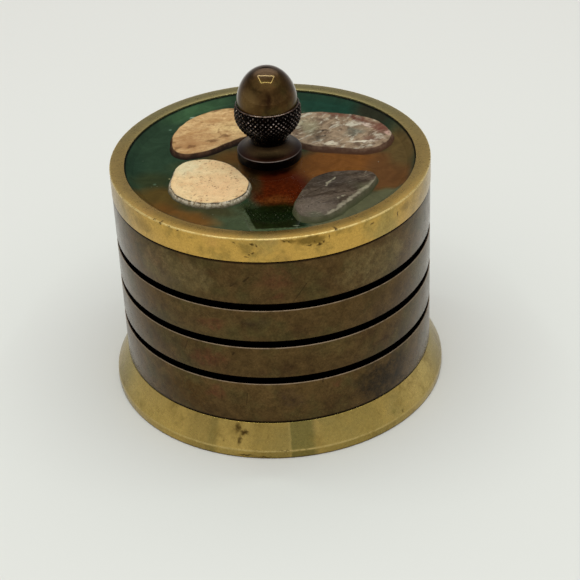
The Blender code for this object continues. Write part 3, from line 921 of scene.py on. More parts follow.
@dataclass(frozen=True)
class StoneFinish:
    """The polished face and the rough, dirty side of each kind of stone.

    Each stone's own method paints its face and returns its side's colour, and its colour down at the bed.
    """

    def make(self, kind: StoneKind, top: float, floor: float) -> Material:
        """Return the finish of one kind of stone.

        Args:
            kind: Which stone it is.
            top: The height of its polished face, in millimetres.
            floor: The height at which it meets the bed.

        Returns:
            The material.
        """
        nodes = FinishNodes(kind.value)
        painters: dict[StoneKind, Callable[[FinishNodes], tuple[Socket, Colour]]] = {
            StoneKind.CREAM: self.cream,
            StoneKind.TAN: self.tan,
            StoneKind.MARBLED: self.marbled,
            StoneKind.SLATE: self.slate,
        }
        side, deep = painters[kind](nodes)
        height = nodes.height()
        sunk = nodes.ramp(height, top - 0.22, top - 0.04, 1.0, 0.0)
        depth = nodes.ramp(height, floor, top - 0.3, 0.95, 0.0)
        nodes.cover(sunk, nodes.blend(depth, side, deep))
        grain = nodes.noise(0.5, 4, 0.7)
        rough = nodes.ramp(grain, 0.3, 0.7, 0.4, 0.6)
        nodes.shader.inputs["Specular IOR Level"].default_value = 0.0
        return nodes.finish(rough, nodes.bump(grain, 0.02))

    def cream(self, nodes: FinishNodes) -> tuple[Socket, Colour]:
        """Paint cream jasper: pale, warm, with fine brown specks and a pale broken side."""
        clouds = nodes.noise(3, 5, 0.65)
        nodes.colour = nodes.blend(nodes.ramp(clouds, 0.36, 0.66), dye(220, 184, 138), dye(226, 196, 150))
        wandering = nodes.wobbled(5, 4)
        nodes.patches(
            wandering, STONE_CORE,
            Pool(dye(214, 198, 160), (-21, -3), (8, 8), core=0.1, strength=0.85),
            Pool(dye(218, 174, 130), (-12, -14), (10, 8), core=0.1, strength=0.6),
            Pool(dye(206, 176, 136), (-7.5, -8), (3.4, 8), turn=20, core=0.1, strength=0.6),
        )
        nodes.shade(nodes.ramp(nodes.noise(1.4, 5, 0.65, seed=6), 0.3, 0.7, 0.9, 1.06))
        blush = nodes.ramp(nodes.noise(1.8, 4, 0.6, seed=7), 0.5, 0.68, 0.0, 0.5)
        nodes.cover(blush, dye(206, 158, 114))
        dots = nodes.ramp(nodes.cells(1.5, nodes.wobbled(0.6, 0.4)), 0.1, 0.26, 0.85, 0.0)
        fine = nodes.ramp(nodes.noise(0.6, 2, 0.5, seed=3), 0.58, 0.68, 0.0, 0.8)
        where = nodes.ramp(nodes.noise(2.4, 3, seed=5), 0.38, 0.56)
        left = nodes.ramp(nodes.split(nodes.place)[0], -23, -16, 0.35, 1.0)
        specks = nodes.times(nodes.times(nodes.maths("MAXIMUM", dots, fine), where), left)
        nodes.cover(specks, dye(140, 98, 64))
        frosted = nodes.noise(0.7, 5, 0.7)
        side = nodes.blend(nodes.ramp(frosted, 0.36, 0.62), dye(146, 125, 95), dye(233, 219, 194))
        cracked = nodes.ramp(nodes.noise(1.1, 4, 0.7, seed=4), 0.42, 0.52, 0.0, 0.85)
        rim = nodes.ramp(nodes.height(), STONE_FACE - 0.36, STONE_FACE - 0.24)
        side = nodes.blend(nodes.times(cracked, rim), side, dye(40, 28, 18))
        return side, dye(62, 58, 36)

    def tan(self, nodes: FinishNodes) -> tuple[Socket, Colour]:
        """Paint tan jasper: streaked gold and brown, with dark patches at its edge."""
        streaks = nodes.noise(3.2, 6, 0.6, twist=0.7, at=nodes.mapped(22, (0.8, 1.2, 1)))
        nodes.colour = nodes.blend(nodes.ramp(streaks, 0.36, 0.66), dye(180, 138, 92), dye(212, 176, 126))
        wandering = nodes.wobbled(5, 4)
        nodes.patches(
            wandering, STONE_CORE,
            Pool(dye(166, 122, 80), (-20, 9), (8, 5), turn=16, core=0.1),
            Pool(dye(216, 186, 132), (-8, 17), (8, 6), core=0.1, strength=0.7),
        )
        mottled = nodes.ramp(nodes.noise(0.9, 5, 0.7, seed=4), 0.44, 0.64, 0, 0.5)
        nodes.cover(mottled, dye(152, 110, 72))
        ragged = nodes.wobbled(1.8, 1.6)
        nodes.lines(
            ragged, STONE_FACE, dye(126, 86, 54),
            ((-22, 16.6), (-14, 18.4), 0.8, 0.6),
            ((-14, 18.4), (-6, 17.2), 0.8, 0.6),
            ((-20, 13), (-10, 14.6), 0.8, 0.6),
            ((-20, 22), (-13.5, 17.6), 0.8, 0.6),
            ((-13.5, 17.6), (-12, 12), 0.8, 0.6),
        )
        edge = Pool(dye(104, 68, 42), (-23.2, 6.6), (1.4, 1.1), 20, 0.1, 0.75)
        nodes.patches(
            ragged, STONE_CORE, edge,
            replace(edge, centre=(-19.6, 7.4), reach=(1.8, 0.9)),
            replace(edge, centre=(-14.6, 9.8), reach=(2.6, 1.0)),
            replace(edge, centre=(-13.5, 26.6), reach=(3, 1.2)),
            replace(edge, centre=(-8, 27), reach=(3.4, 1.4)),
            replace(edge, centre=(-24.8, 11), reach=(0.7, 2.2)),
            replace(edge, centre=(-11, 12.4), reach=(2.0, 0.8)),
        )
        side = nodes.blend(nodes.ramp(nodes.noise(2, 4), 0.4, 0.65), dye(62, 42, 30), dye(92, 64, 46))
        return side, dye(34, 24, 18)

    def marbled(self, nodes: FinishNodes) -> tuple[Socket, Colour]:
        """Paint marbled agate: grey with soft white swirls, and red brown patches along its back."""
        clouds = nodes.noise(4.6, 6, 0.62, twist=1.2, seed=3)
        nodes.colour = nodes.blend(nodes.ramp(clouds, 0.36, 0.62), dye(104, 83, 67), dye(156, 132, 107))
        swirl = nodes.noise(5.2, 6, 0.6, twist=2.4, at=nodes.mapped(38, (0.7, 1.5, 1)), seed=21)
        nodes.cover(nodes.ramp(swirl, 0.5, 0.66, 0, 0.85), dye(196, 186, 166))
        ragged = nodes.wobbled(2.6, 2.6)
        nodes.patches(
            ragged, STONE_CORE,
            Pool(dye(150, 144, 114), (10, 15.5), (4, 7), 10, 0.2, 0.5),
            Pool(dye(66, 58, 50), (12.5, 8.6), (4.4, 1.8), 10, 0.1, 0.8),
            Pool(dye(98, 100, 88), (22, 11), (4.4, 2.6), 30, 0.1, 0.7),
            Pool(dye(104, 62, 46), (17, 21.4), (7, 2.2), -14, 0.2, 0.85),
            Pool(dye(92, 46, 34), (23.6, 17.6), (5.4, 2.4), -34, 0.2, 0.85),
            Pool(dye(104, 56, 44), (28, 12.4), (2.8, 4.6), 24, 0.2, 0.8),
            Pool(dye(110, 76, 62), (26, 6.6), (4, 3), 24, 0.1, 0.7),
            Pool(dye(214, 200, 180), (23.5, 5.6), (4.6, 0.9), -2, 0.3, 0.9),
            Pool(dye(206, 190, 166), (15.5, 5.4), (3.4, 0.9), -8, 0.2, 0.8),
            Pool(dye(202, 178, 162), (25.4, 14.4), (2.4, 1.0), -28, 0.2, 0.85),
            Pool(dye(196, 156, 142), (30, 9.4), (1.3, 1.5), 0, 0.2, 0.8),
            Pool(dye(52, 42, 34), (14.6, 12.4), (0.9, 0.5), 0, 0.3, 0.9),
            Pool(dye(52, 42, 34), (14.4, 9.4), (0.7, 0.4), 0, 0.3, 0.9),
        )
        flecks = nodes.ramp(nodes.noise(1.1, 5, 0.7, seed=2), 0.53, 0.68, 0, 0.65)
        nodes.cover(flecks, dye(64, 48, 40))
        side = nodes.blend(nodes.ramp(nodes.noise(2, 4), 0.4, 0.65), dye(84, 60, 46), dye(112, 84, 66))
        return side, dye(84, 56, 38)

    def slate(self, nodes: FinishNodes) -> tuple[Socket, Colour]:
        """Paint slate: dark and striated, with cracks, light flecks and a dusty streak."""
        strata = nodes.noise(2.2, 7, 0.66, twist=0.9, at=nodes.mapped(24, (0.3, 1.1, 1)))
        nodes.colour = nodes.blend(nodes.ramp(strata, 0.36, 0.66), dye(54, 43, 34), dye(91, 77, 64))
        wandering = nodes.wobbled(5, 4)
        nodes.patches(
            wandering, STONE_CORE,
            Pool(dye(58, 50, 44), (16, -14), (9, 5), core=0.1, strength=0.7),
            Pool(dye(108, 95, 84), (10, -26), (8, 7), core=0.1, strength=0.7),
            Pool(dye(88, 88, 70), (13, -31), (8, 4), core=0.1, strength=0.8),
            Pool(dye(84, 82, 58), (25, -21), (5, 9), 36, 0.3, 0.8),
        )
        nodes.shade(nodes.ramp(nodes.noise(0.6, 4, 0.7, seed=8), 0.34, 0.66, 0.78, 1.2))
        fibres = nodes.noise(0.9, 5, 0.7, at=nodes.mapped(24, (0.25, 1.4, 1)), seed=18)
        nodes.cover(nodes.ramp(fibres, 0.56, 0.72, 0.0, 0.55), dye(132, 120, 108))
        frayed = nodes.wobbled(1.8, 1.1)
        nodes.lines(
            frayed, STONE_FACE, dye(28, 20, 18),
            ((7.6, -17), (15.5, -19.4), 0.7, 0.85),
            ((15.5, -19.4), (21.5, -18.6), 0.7, 0.85),
            ((17, -11.6), (13, -15.6), 0.4, 0.85),
            ((8.4, -25), (13, -23), 0.5, 0.85),
            ((11, -13.6), (16, -15.4), 0.4, 0.85),
        )
        nodes.lines(
            frayed, STONE_FACE, dye(166, 156, 132),
            ((26.8, -12.6), (12.6, -29.9), 1.8, 0.62),
            ((22, -20), (18, -27), 0.9, 0.35),
            ((13.2, -15.6), (15.4, -12.2), 0.9, 0.75),
            ((15.2, -22.4), (17.4, -20.8), 0.8, 0.65),
            ((23.6, -9.4), (22.8, -11.4), 0.4, 0.5),
            ((9, -29), (14, -27.6), 0.6, 0.35),
        )
        dusty = nodes.noise(2.6, 4, 0.55)
        side = nodes.blend(nodes.ramp(dusty, 0.38, 0.66), dye(82, 78, 58), dye(102, 97, 75))
        return side, dye(78, 80, 54)


class Dresser:
    """Ties finished pieces to the frame and reports them."""

    @staticmethod
    def dress(piece: Piece, material: Material, slot: str, body: str, *nodes: str) -> None:
        """Give a piece its finish, its body and the nodes that it stands for.

        Args:
            piece: The finished piece.
            material: Its finish.
            slot: The record's material slot.
            body: The body that it moves with.
            nodes: The nodes of the frame that it replaces.
        """
        piece.data.materials.clear()
        piece.data.materials.append(material)
        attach(piece, body)
        if nodes:
            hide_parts(*nodes)
        log.info("%s: %d faces, %s", piece.name, len(piece.data.polygons), slot)


@dataclass
class FlaredFoot:
    """The bright flared foot with the box's floor, and the felt pad let into its underside."""

    rim_height: float = 2.2 * MM
    floor_thickness: float = 2.4 * MM
    spigot_wall: float = 1.6 * MM
    seat_gap: float = 0.3 * MM
    body_wall: float = 3.2 * MM
    felt_edge: float = 0.2 * MM
    rim_round: float = 0.5 * MM
    inner_round: float = 0.3 * MM
    fine_round: float = 0.08 * MM
    felt_rings: int = 6
    fuzz_size: float = 0.8 * MM
    marks: Wear = Wear(
        stains=(
            Stain(-129.9, 7.0, 1.6, 0.9, 0.7),
            Stain(-70, 6.2, 2.6, 1.2, 0.35),
            Stain(-48.3, 4.1, 1.6, 1.0, 0.6),
            Stain(-152, 5.0, 1.0, 1.4, 0.5),
            Stain(60, 5.0, 2.6, 1.6, 0.5),
            Stain(120, 4.0, 2.0, 1.2, 0.6),
        ),
        specks=(
            Stain(-106.2, 7.2, 1.2, 1.6, 1.0, inward=8),
            Stain(-104.0, 6.3, 1.8, 1.0, 1.0, inward=8),
            Stain(-105.3, 4.8, 0.75, 2.3, 1.0),
            Stain(-143.9, 7.1, 0.4, 0.4, 0.8),
            Stain(-111.1, 3.9, 0.45, 0.4, 0.8),
            Stain(-95.6, 5.7, 0.28, 1.3, 0.75),
            Stain(-69.4, 7.2, 0.35, 0.7, 0.8),
            Stain(-71.6, 6.2, 0.4, 0.35, 0.7),
            Stain(-35.7, 6.7, 0.6, 0.4, 0.7),
            Stain(-44.7, 3.1, 0.6, 0.35, 0.7),
            Stain(-103.5, 0.9, 3.2, 0.35, 0.9),
            Stain(-97, 0.5, 3.0, 0.4, 0.85),
            Stain(-90, 2.2, 3.2, 0.22, 0.6),
            Stain(-153.1, 5.2, 0.4, 0.5, 0.8),
        ),
        smears=(
            Smear(-175, -160, 4, 4, 0.6, dye(140, 126, 76)),
            Smear(-125, -114, 3, 1.6, 0.5, dye(140, 120, 66)),
            Smear(-116.5, -113.4, 1.2, 0.8, 0.35),
            Smear(-102, -88.4, 3, 0.8, 0.45, dye(132, 112, 56)),
            # Painted reflection: a dark olive band where the cone mirrors the dark camera side.
            Smear(-87.7, -79.4, 0.35, 1.5, 0.82, dye(114, 106, 56)),
            Smear(-78, -54, 3, 4, 0.45, dye(140, 124, 66)),
            Smear(-40, -23, 5, 4, 0.5, dye(196, 172, 104)),
            Smear(-18, 2, 4, 4, 0.5, dye(140, 126, 80)),
            Smear(36, 60, 5, 5, 0.5),
            Smear(118, 150, 6, 6, 0.5, dye(150, 132, 76)),
        ),
    )

    def build(self) -> None:
        """Make the foot and its felt."""
        foot = Span.of("base_flange")
        body = Span.of("body_tube")
        felt = Span.of("base_felt")
        pocket = felt.top + self.seat_gap
        shoulder = body.bottom - self.seat_gap
        spigot = body.radius - self.body_wall - self.seat_gap
        floor = pocket + self.floor_thickness
        section = [
            (0, floor, 0),
            (spigot - self.spigot_wall, floor, 0),
            (spigot - self.spigot_wall, foot.top, self.inner_round),
            (spigot, foot.top, self.inner_round),
            (spigot, shoulder, 0),
            (body.radius, shoulder, self.fine_round),
            (foot.radius, self.rim_height, self.rim_round),
            (foot.radius, 0, self.inner_round),
            (felt.radius + self.seat_gap, 0, self.inner_round),
            (felt.radius + self.seat_gap, pocket, 0),
            (0, pocket, 0),
        ]
        piece = Lathe.turn_soft("flared_foot", section, TURNED_STEPS, False)
        # The crease atop the rim is worn bright: wear and a painted highlight.
        crease = (foot.radius / MM, self.rim_height / MM)
        brass = BrightBrass(
            gold=dye(178, 151, 82), olive=dye(164, 143, 82), rosy=dye(178, 148, 88), dull=dye(168, 146, 86),
            stain=dye(126, 112, 56), rubbed_sheen=dye(194, 170, 108), contact_shade_height=0.45,
        ).make("foot_brass", crease[0], replace(self.marks, rubbed_sheen_edges=(crease,)))
        Dresser.dress(piece, brass, "bright_brass", "box", "base_flange")
        self.build_felt(felt)

    def build_felt(self, felt: Span) -> None:
        """Make the felt pad, with a soft cut edge and an uneven face."""
        rim = felt.radius - self.felt_edge
        profile = [
            (0, felt.top),
            *[(rim * ring / self.felt_rings, felt.top) for ring in range(1, self.felt_rings)],
            *Lathe.arc((rim, felt.top - self.felt_edge), (self.felt_edge, self.felt_edge), 90, 0, 3),
            *Lathe.arc((rim, felt.bottom + self.felt_edge), (self.felt_edge, self.felt_edge), 0, -90, 3),
            *[(rim * ring / self.felt_rings, felt.bottom) for ring in range(self.felt_rings - 1, 0, -1)],
            (0, felt.bottom),
        ]
        pad = Lathe.turn("felt_pad", profile, TURNED_STEPS, False)
        margin = self.felt_edge / 2
        for vertex in pad.data.vertices:
            if felt.bottom + margin < vertex.co.z < felt.top - margin:
                fuzz = noise.noise(vertex.co / self.fuzz_size) * self.felt_edge / 3
                vertex.co -= Vector((vertex.co.x, vertex.co.y, 0)).normalized() * abs(fuzz)
        Lathe.smooth(pad)
        Dresser.dress(pad, FeltCloth().make("green_felt"), "green_felt", "box", "base_felt")


@dataclass
class GroovedBody:
    """The dark tube with its three black grooves."""

    wall: float = 3.2 * MM
    groove_count: int = 3
    groove_width: float = 1.8 * MM
    groove_depth: float = 1.5 * MM
    groove_pitch: float = 10.7 * MM
    edge_round: float = 0.16 * MM
    upper_round: float = 0.42 * MM
    scratches: tuple[Scratch, ...] = (
        Scratch((-93.5, 55.1), (-105.9, 48.4), 0.35),
        Scratch((-99.3, 51.3), (-101.1, 50.1), 0.8),
        Scratch((-79.7, 48.8), (-84.6, 44.1), 0.35),
        Scratch((-106.1, 29.3), (-106.6, 28.8), 1.0),
        Scratch((-75.3, 20.2), (-75.4, 19.5), 0.8),
        Scratch((-102.2, 17.5), (-102.8, 14), 0.3),
        Scratch((-124, 30), (-125.5, 27), 0.3),
    )
    patches: tuple[Stain, ...] = (
        # The first six are painted reflection: broad paler and darker patches where the body mirrors lighter
        # and darker surroundings.
        Stain(-128, 49, 19, 7, 0.8, 0.4, tint=dye(122, 105, 69)),
        Stain(-52, 49, 19, 7, 0.8, 0.4, tint=dye(122, 105, 68)),
        Stain(-118, 40, 16, 14, 0.3, 0.3, tint=dye(104, 88, 54)),
        Stain(-126, 14, 12, 7, 0.8, 0.3, tint=dye(84, 60, 28)),
        Stain(-50, 15, 14, 8, 0.95, 0.4, tint=dye(46, 39, 29)),
        Stain(-70, 30, 10, 5, 0.5, 0.3, tint=dye(104, 90, 54)),
        Stain(-89.8, 50.5, 7, 3.6, 0.75),
        Stain(-89.7, 45.5, 3, 1.4, 0.7),
        Stain(-114.2, 37.0, 5, 2.6, 0.95),
        Stain(-110.9, 36.2, 1.2, 0.8, 0.9),
        Stain(-115.3, 26.8, 8, 4, 0.9),
        Stain(-113.5, 16.7, 4, 2.6, 0.8),
        Stain(-69.0, 18.3, 2.2, 1.4, 0.6),
        Stain(-135, 50, 6, 4, 0.4),
        Stain(40, 36, 12, 8, 0.5),
        Stain(130, 22, 9, 7, 0.5),
        Stain(-86.5, 15.4, 5, 4, 0.6, tint=dye(62, 48, 40)),
        Stain(-130.1, 47.6, 5, 3, 0.4, tint=dye(62, 48, 40)),
        Stain(-98, 38.4, 6, 2.4, 0.35, tint=dye(62, 48, 40)),
        Stain(80, 48, 9, 4, 0.5, tint=dye(62, 48, 40)),
    )

    def build(self) -> None:
        """Make the tube."""
        body = Span.of("body_tube")
        inner = body.radius - self.wall
        floor = body.radius - self.groove_depth
        section = [(inner, body.top, self.edge_round), (body.radius, body.top, self.edge_round)]
        middle = (body.top + body.bottom) / 2
        lower_edges = []
        for step in range(self.groove_count):
            centre = middle + self.groove_pitch * ((self.groove_count - 1) / 2 - step)
            upper = centre + self.groove_width / 2
            lower = centre - self.groove_width / 2
            lower_edges.append(lower / MM)
            section += [(body.radius, upper, self.upper_round), (floor, upper, 0),
                        (floor, lower, 0), (body.radius, lower, self.edge_round)]
        section += [(body.radius, body.bottom, self.edge_round), (inner, body.bottom, self.edge_round)]
        tube = Lathe.turn_soft("grooved_body", section, TURNED_STEPS, True)
        patina = DarkPatina().make(
            "dark_patina", body.radius / MM, floor / MM, inner / MM,
            self.scratches, self.patches, lower_edges, (body.bottom / MM, body.top / MM),
        )
        Dresser.dress(tube, patina, "dark_brass", "box", "body_tube")


@dataclass
class LidRing:
    """The bright ring and floor of the lid, with the collar that drops into the body."""

    ring_width: float = 3.65 * MM
    floor_thickness: float = 1.4 * MM
    screw_hole: float = 2.3 * MM
    collar_wall: float = 1.4 * MM
    top_round: float = 0.26 * MM
    bottom_round: float = 0.1 * MM
    inner_round: float = 0.05 * MM
    collar_round: float = 0.35 * MM
    marks: Wear = Wear(
        stains=(
            Stain(-78, 60.4, 4.8, 1.5, 0.8, 0.45),
            Stain(-85, 60.9, 2.6, 0.7, 0.75, 0.3),
            Stain(-99, 59.2, 3.0, 2.4, 0.3),
            Stain(-38, 59.6, 3.0, 1.6, 0.45),
            Stain(-26, 58.0, 2.0, 1.6, 0.4),
            Stain(-141, 58.6, 5.0, 2.4, 0.45),
            Stain(35, 59.0, 3.0, 1.4, 0.5),
            Stain(110, 60.0, 1.8, 1.2, 0.5),
        ),
        specks=(
            Stain(-78.3, 59.2, 1.4, 0.35, 0.8),
            Stain(-76.4, 60.0, 0.5, 0.3, 0.7),
            Stain(-74.8, 59.0, 1.0, 0.4, 0.95),
            Stain(-73.2, 59.5, 0.6, 0.5, 0.9),
            Stain(-71.3, 60.5, 0.4, 0.7, 0.8),
            Stain(-87.0, 61.1, 0.6, 0.3, 0.9),
            Stain(-85.2, 60.7, 0.4, 0.3, 0.8),
            Stain(-97.5, 60.5, 0.8, 0.5, 0.95),
            Stain(-95.8, 60.1, 0.5, 0.4, 0.9),
            Stain(-97.4, 58.1, 0.8, 0.45, 0.9),
            Stain(-98.6, 57.5, 0.5, 0.3, 0.8),
            Stain(-99.7, 56.9, 0.8, 0.4, 0.9),
            Stain(-103.4, 60.8, 0.4, 0.3, 0.8),
            Stain(-54.9, 60.1, 0.9, 0.5, 0.85),
            Stain(-42.3, 59.0, 0.45, 1.2, 0.9),
            Stain(-143.5, 61.4, 0.6, 0.3, 0.9),
            Stain(-139, 61.5, 0.4, 0.25, 0.7),
            Stain(-134.8, 61.6, 0.6, 0.3, 0.9),
            Stain(-131.6, 61.6, 0.6, 0.4, 0.95),
            Stain(-127.8, 61.5, 0.5, 0.3, 0.8),
            Stain(-124.2, 61.4, 0.4, 0.25, 0.8),
            Stain(-68.7, 61.9, 0.7, 0.6, 1.0),
        ),
    )

    @property
    def well_radius(self) -> float:
        """The inner radius of the ring."""
        return Span.of("lid_pan").radius - self.ring_width

    def build(self) -> None:
        """Make the ring and the collar."""
        pan = Span.of("lid_pan")
        floor = pan.bottom + self.floor_thickness
        section = [
            (self.screw_hole, floor, 0),
            (self.well_radius, floor, 0),
            (self.well_radius, pan.top, self.inner_round),
            (pan.radius, pan.top, self.top_round),
            (pan.radius, pan.bottom, self.bottom_round),
            (self.screw_hole, pan.bottom, 0),
        ]
        ring = Lathe.turn_soft("lid_ring", section, TURNED_STEPS, True)
        # The ring's outer top edge is worn bright: wear and a painted highlight.
        rim = (pan.radius / MM - 0.1, pan.top / MM - 0.1)
        marks = replace(self.marks, rubbed_sheen_edges=(rim,), lapped_height=pan.top / MM)
        brass = BrightBrass().make("ring_brass", pan.radius / MM, marks)
        Dresser.dress(ring, brass, "bright_brass", "lid", "lid_pan")

        collar = Span.of("lid_collar")
        inner = collar.radius - self.collar_wall
        section = [
            (inner, collar.top, 0),
            (collar.radius, collar.top, 0),
            (collar.radius, collar.bottom, self.collar_round),
            (inner, collar.bottom, self.collar_round),
        ]
        guide = Lathe.turn_soft("guide_collar", section, TURNED_STEPS, True)
        brass = BrightBrass().make("collar_brass", collar.radius / MM, Wear())
        Dresser.dress(guide, brass, "bright_brass", "lid", "lid_collar")


@dataclass
class SetStone:
    """One flat stone whose outline comes from its node in the frame."""

    kind: StoneKind
    top: float
    floor: float
    flare: float = 0.9 * MM
    points: int = 168
    rings: int = 7
    edge_wave: float = 0.26 * MM
    edge_wave_size: float = 2.6 * MM
    wall_wave: float = 0.08 * MM
    wall_wave_size: float = 0.7 * MM
    face_inset: float = 0.12 * MM
    face_rise: float = 0.03 * MM

    def outline(self) -> tuple[Vector, list[float]]:
        """Return the middle of the stone's face and its reach at each of evenly spaced angles."""
        corners = [vertex.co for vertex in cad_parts[self.kind.value].data.vertices]
        height = max(corner.z for corner in corners)
        face = {(round(c.x / MM, 3), round(c.y / MM, 3)) for c in corners if height - c.z < MERGE_DISTANCE}
        middle = Vector((sum(x for x, _ in face), sum(y for _, y in face))) / len(face)
        spokes = sorted((math.atan2(y - middle.y, x - middle.x), math.hypot(x - middle.x, y - middle.y))
                        for x, y in face)
        spokes = [(spokes[-1][0] - math.tau, spokes[-1][1]), *spokes, (spokes[0][0] + math.tau, spokes[0][1])]
        reaches = []
        index = 0
        for step in range(self.points):
            angle = -math.pi + math.tau * step / self.points
            while spokes[index + 1][0] < angle:
                index += 1
            (before, near), (after, far) = spokes[index], spokes[index + 1]
            share = (angle - before) / (after - before)
            reaches.append((near + (far - near) * share) * MM)
        rounded = [
            sum(reaches[(step + shift) % self.points] for shift in range(-2, 3)) / 5
            for step in range(self.points)
        ]
        return middle * MM, rounded

    def ring(self, middle: Vector, reaches: Sequence[float], level: float) -> list[Vector]:
        """Return one ring of the stone's side.

        Args:
            middle: The middle of the face.
            reaches: How far out the face goes at each angle.
            level: The ring's height, from 0 at the bed to 1 at the polished face.

        Returns:
            The ring's points, in order.
        """
        height = self.floor + (self.top - self.floor) * level
        points = []
        for step, reach in enumerate(reaches):
            angle = -math.pi + math.tau * step / self.points
            way = Vector((math.cos(angle), math.sin(angle), 0))
            spot = Vector((middle.x, middle.y, 0)) + way * reach
            edge = noise.noise(spot / self.edge_wave_size) * self.edge_wave
            deep = Vector((spot.x, spot.y, height))
            rugged = noise.noise(deep / self.wall_wave_size) * self.wall_wave * (1 - level)
            out = reach + edge + rugged + self.flare * (1 - level) ** 0.8
            points.append(Vector((middle.x, middle.y, height)) + way * out)
        return points

    def build(self) -> Piece:
        """Make the stone: a face at the bed, extruded up ring by ring to the polished top."""
        middle, reaches = self.outline()
        Lathe.clear_selection()
        bpy.ops.mesh.primitive_circle_add(vertices=self.points, radius=MM, fill_type="NGON")
        stone = bpy.context.object
        stone.name = f"{self.kind.value}_face"
        stone.data.name = stone.name
        bpy.ops.object.mode_set(mode="EDIT")
        for number in range(self.rings + 1):
            if number:
                bpy.ops.mesh.extrude_region_move(TRANSFORM_OT_translate={"value": (0, 0, MM)})
            work = bmesh.from_edit_mesh(stone.data)
            face = next(face for face in work.faces if face.select)
            self.place_ring(face.verts, self.ring(middle, reaches, number / self.rings), middle)
            bmesh.update_edit_mesh(stone.data)
        bpy.ops.mesh.inset(thickness=self.face_inset)
        bpy.ops.transform.translate(value=(0, 0, self.face_rise))
        bpy.ops.mesh.select_all(action="SELECT")
        bpy.ops.mesh.normals_make_consistent(inside=False)
        bpy.ops.object.mode_set(mode="OBJECT")
        Lathe.smooth(stone)
        return stone

    @staticmethod
    def place_ring(corners: Iterable[bmesh.types.BMVert], ring: Sequence[Vector], middle: Vector) -> None:
        """Move a loop of corners onto a ring of points, each to the one at its own angle."""

        def angle_of(corner: bmesh.types.BMVert) -> float:
            """Return a corner's angle, in the first circle about the axis, later about the stone's middle."""
            offset = corner.co if corner.co.length < 2 * MM else corner.co - Vector((middle.x, middle.y, 0))
            return math.atan2(offset.y, offset.x)

        for corner, point in zip(sorted(corners, key=angle_of), ring):
            corner.co = point


@dataclass
class ResinInlay:
    """The bed of tinted resin with its stones, its trapped bubbles and its clear polished surface."""

    well_radius: float
    edge_gap: float = 0.02 * MM
    slope_width: float = 2.2 * MM
    depth: float = 1.6 * MM
    film: float = 0.1 * MM
    under_film: float = 0.06 * MM
    stone_bite: float = 0.05 * MM  # how far a stone's wall goes into the bed
    bubble_count: int = 12
    bubble_small: float = 0.06 * MM
    bubble_large: float = 0.12 * MM
    bubble_seed: int = 12
    bubble_clearance: float = 1.6 * MM

    def build(self) -> None:
        """Make the bed, the stones, the bubbles and the surface."""
        bed = Span.of("resin_bed")
        outer = self.well_radius - self.edge_gap
        film_bottom = bed.top - self.film
        stone_top = film_bottom - self.under_film
        floor = bed.top - self.depth
        inner = outer - self.slope_width
        dish = [(0, floor), (inner, floor), (outer, stone_top), (outer, bed.bottom), (0, bed.bottom)]
        piece = Lathe.turn("tinted_bed", dish, TURNED_STEPS, False)
        Lathe.smooth(piece)
        resin = PouredResin().make("poured_resin", outer / MM, stone_top / MM)
        Dresser.dress(piece, resin, "tinted_resin", "lid", "resin_bed")

        stones = []
        for kind in StoneKind:
            stone = SetStone(kind, stone_top - SetStone.face_rise, floor - self.stone_bite)
            finish = StoneFinish().make(kind, stone_top / MM, floor / MM)
            slot = kind.value.replace("stone_", "") + "_stone"
            Dresser.dress(stone.build(), finish, slot, "lid", kind.value)
            stones.append(stone)
        self.build_bubbles(stones, inner, floor, stone_top)

        sheet = [(0, bed.top), (outer, bed.top), (outer, film_bottom), (0, film_bottom)]
        surface = Lathe.turn("clear_surface", sheet, TURNED_STEPS, False)
        Lathe.smooth(surface)
        Dresser.dress(surface, ClearSurface().make("clear_surface"), "tinted_resin", "lid")

    def build_bubbles(self, stones: Sequence[SetStone], inner: float, floor: float, top: float) -> None:
        """Make the small air bubbles between the stones."""
        chance = random.Random(self.bubble_seed)
        outlines = [stone.outline() for stone in stones]
        spots = []
        while len(spots) < self.bubble_count:
            angle = chance.uniform(-math.pi, math.pi)
            reach = inner * math.sqrt(chance.uniform(0.08, 0.92))
            spot = Vector((reach * math.cos(angle), reach * math.sin(angle)))
            if not any(self.covers(outline, spot) for outline in outlines):
                spots.append(spot)
        Lathe.clear_selection()
        bubbles = []
        for spot in spots:
            radius = chance.uniform(self.bubble_small, self.bubble_large)
            height = chance.uniform(floor + radius, top - 2 * radius)
            bpy.ops.mesh.primitive_ico_sphere_add(subdivisions=2, radius=radius, location=(*spot, height))
            bubbles.append(bpy.context.object)
        for bubble in bubbles:
            bubble.select_set(True)
        bpy.context.view_layer.objects.active = bubbles[0]
        bpy.ops.object.join()
        piece = bpy.context.object
        piece.name = "resin_bubbles"
        piece.data.name = "resin_bubbles"
        bpy.ops.object.transform_apply(location=True, rotation=True, scale=True)
        Lathe.smooth(piece)
        Dresser.dress(piece, TrappedAir().make("trapped_air"), "tinted_resin", "lid")

    @classmethod
    def covers(cls, outline: tuple[Vector, list[float]], spot: Vector) -> bool:
        """Return whether a stone lies over or close to a spot."""
        middle, reaches = outline
        offset = spot - middle
        share = (math.atan2(offset.y, offset.x) + math.pi) / math.tau
        return offset.length < reaches[int(share * len(reaches)) % len(reaches)] + cls.bubble_clearance


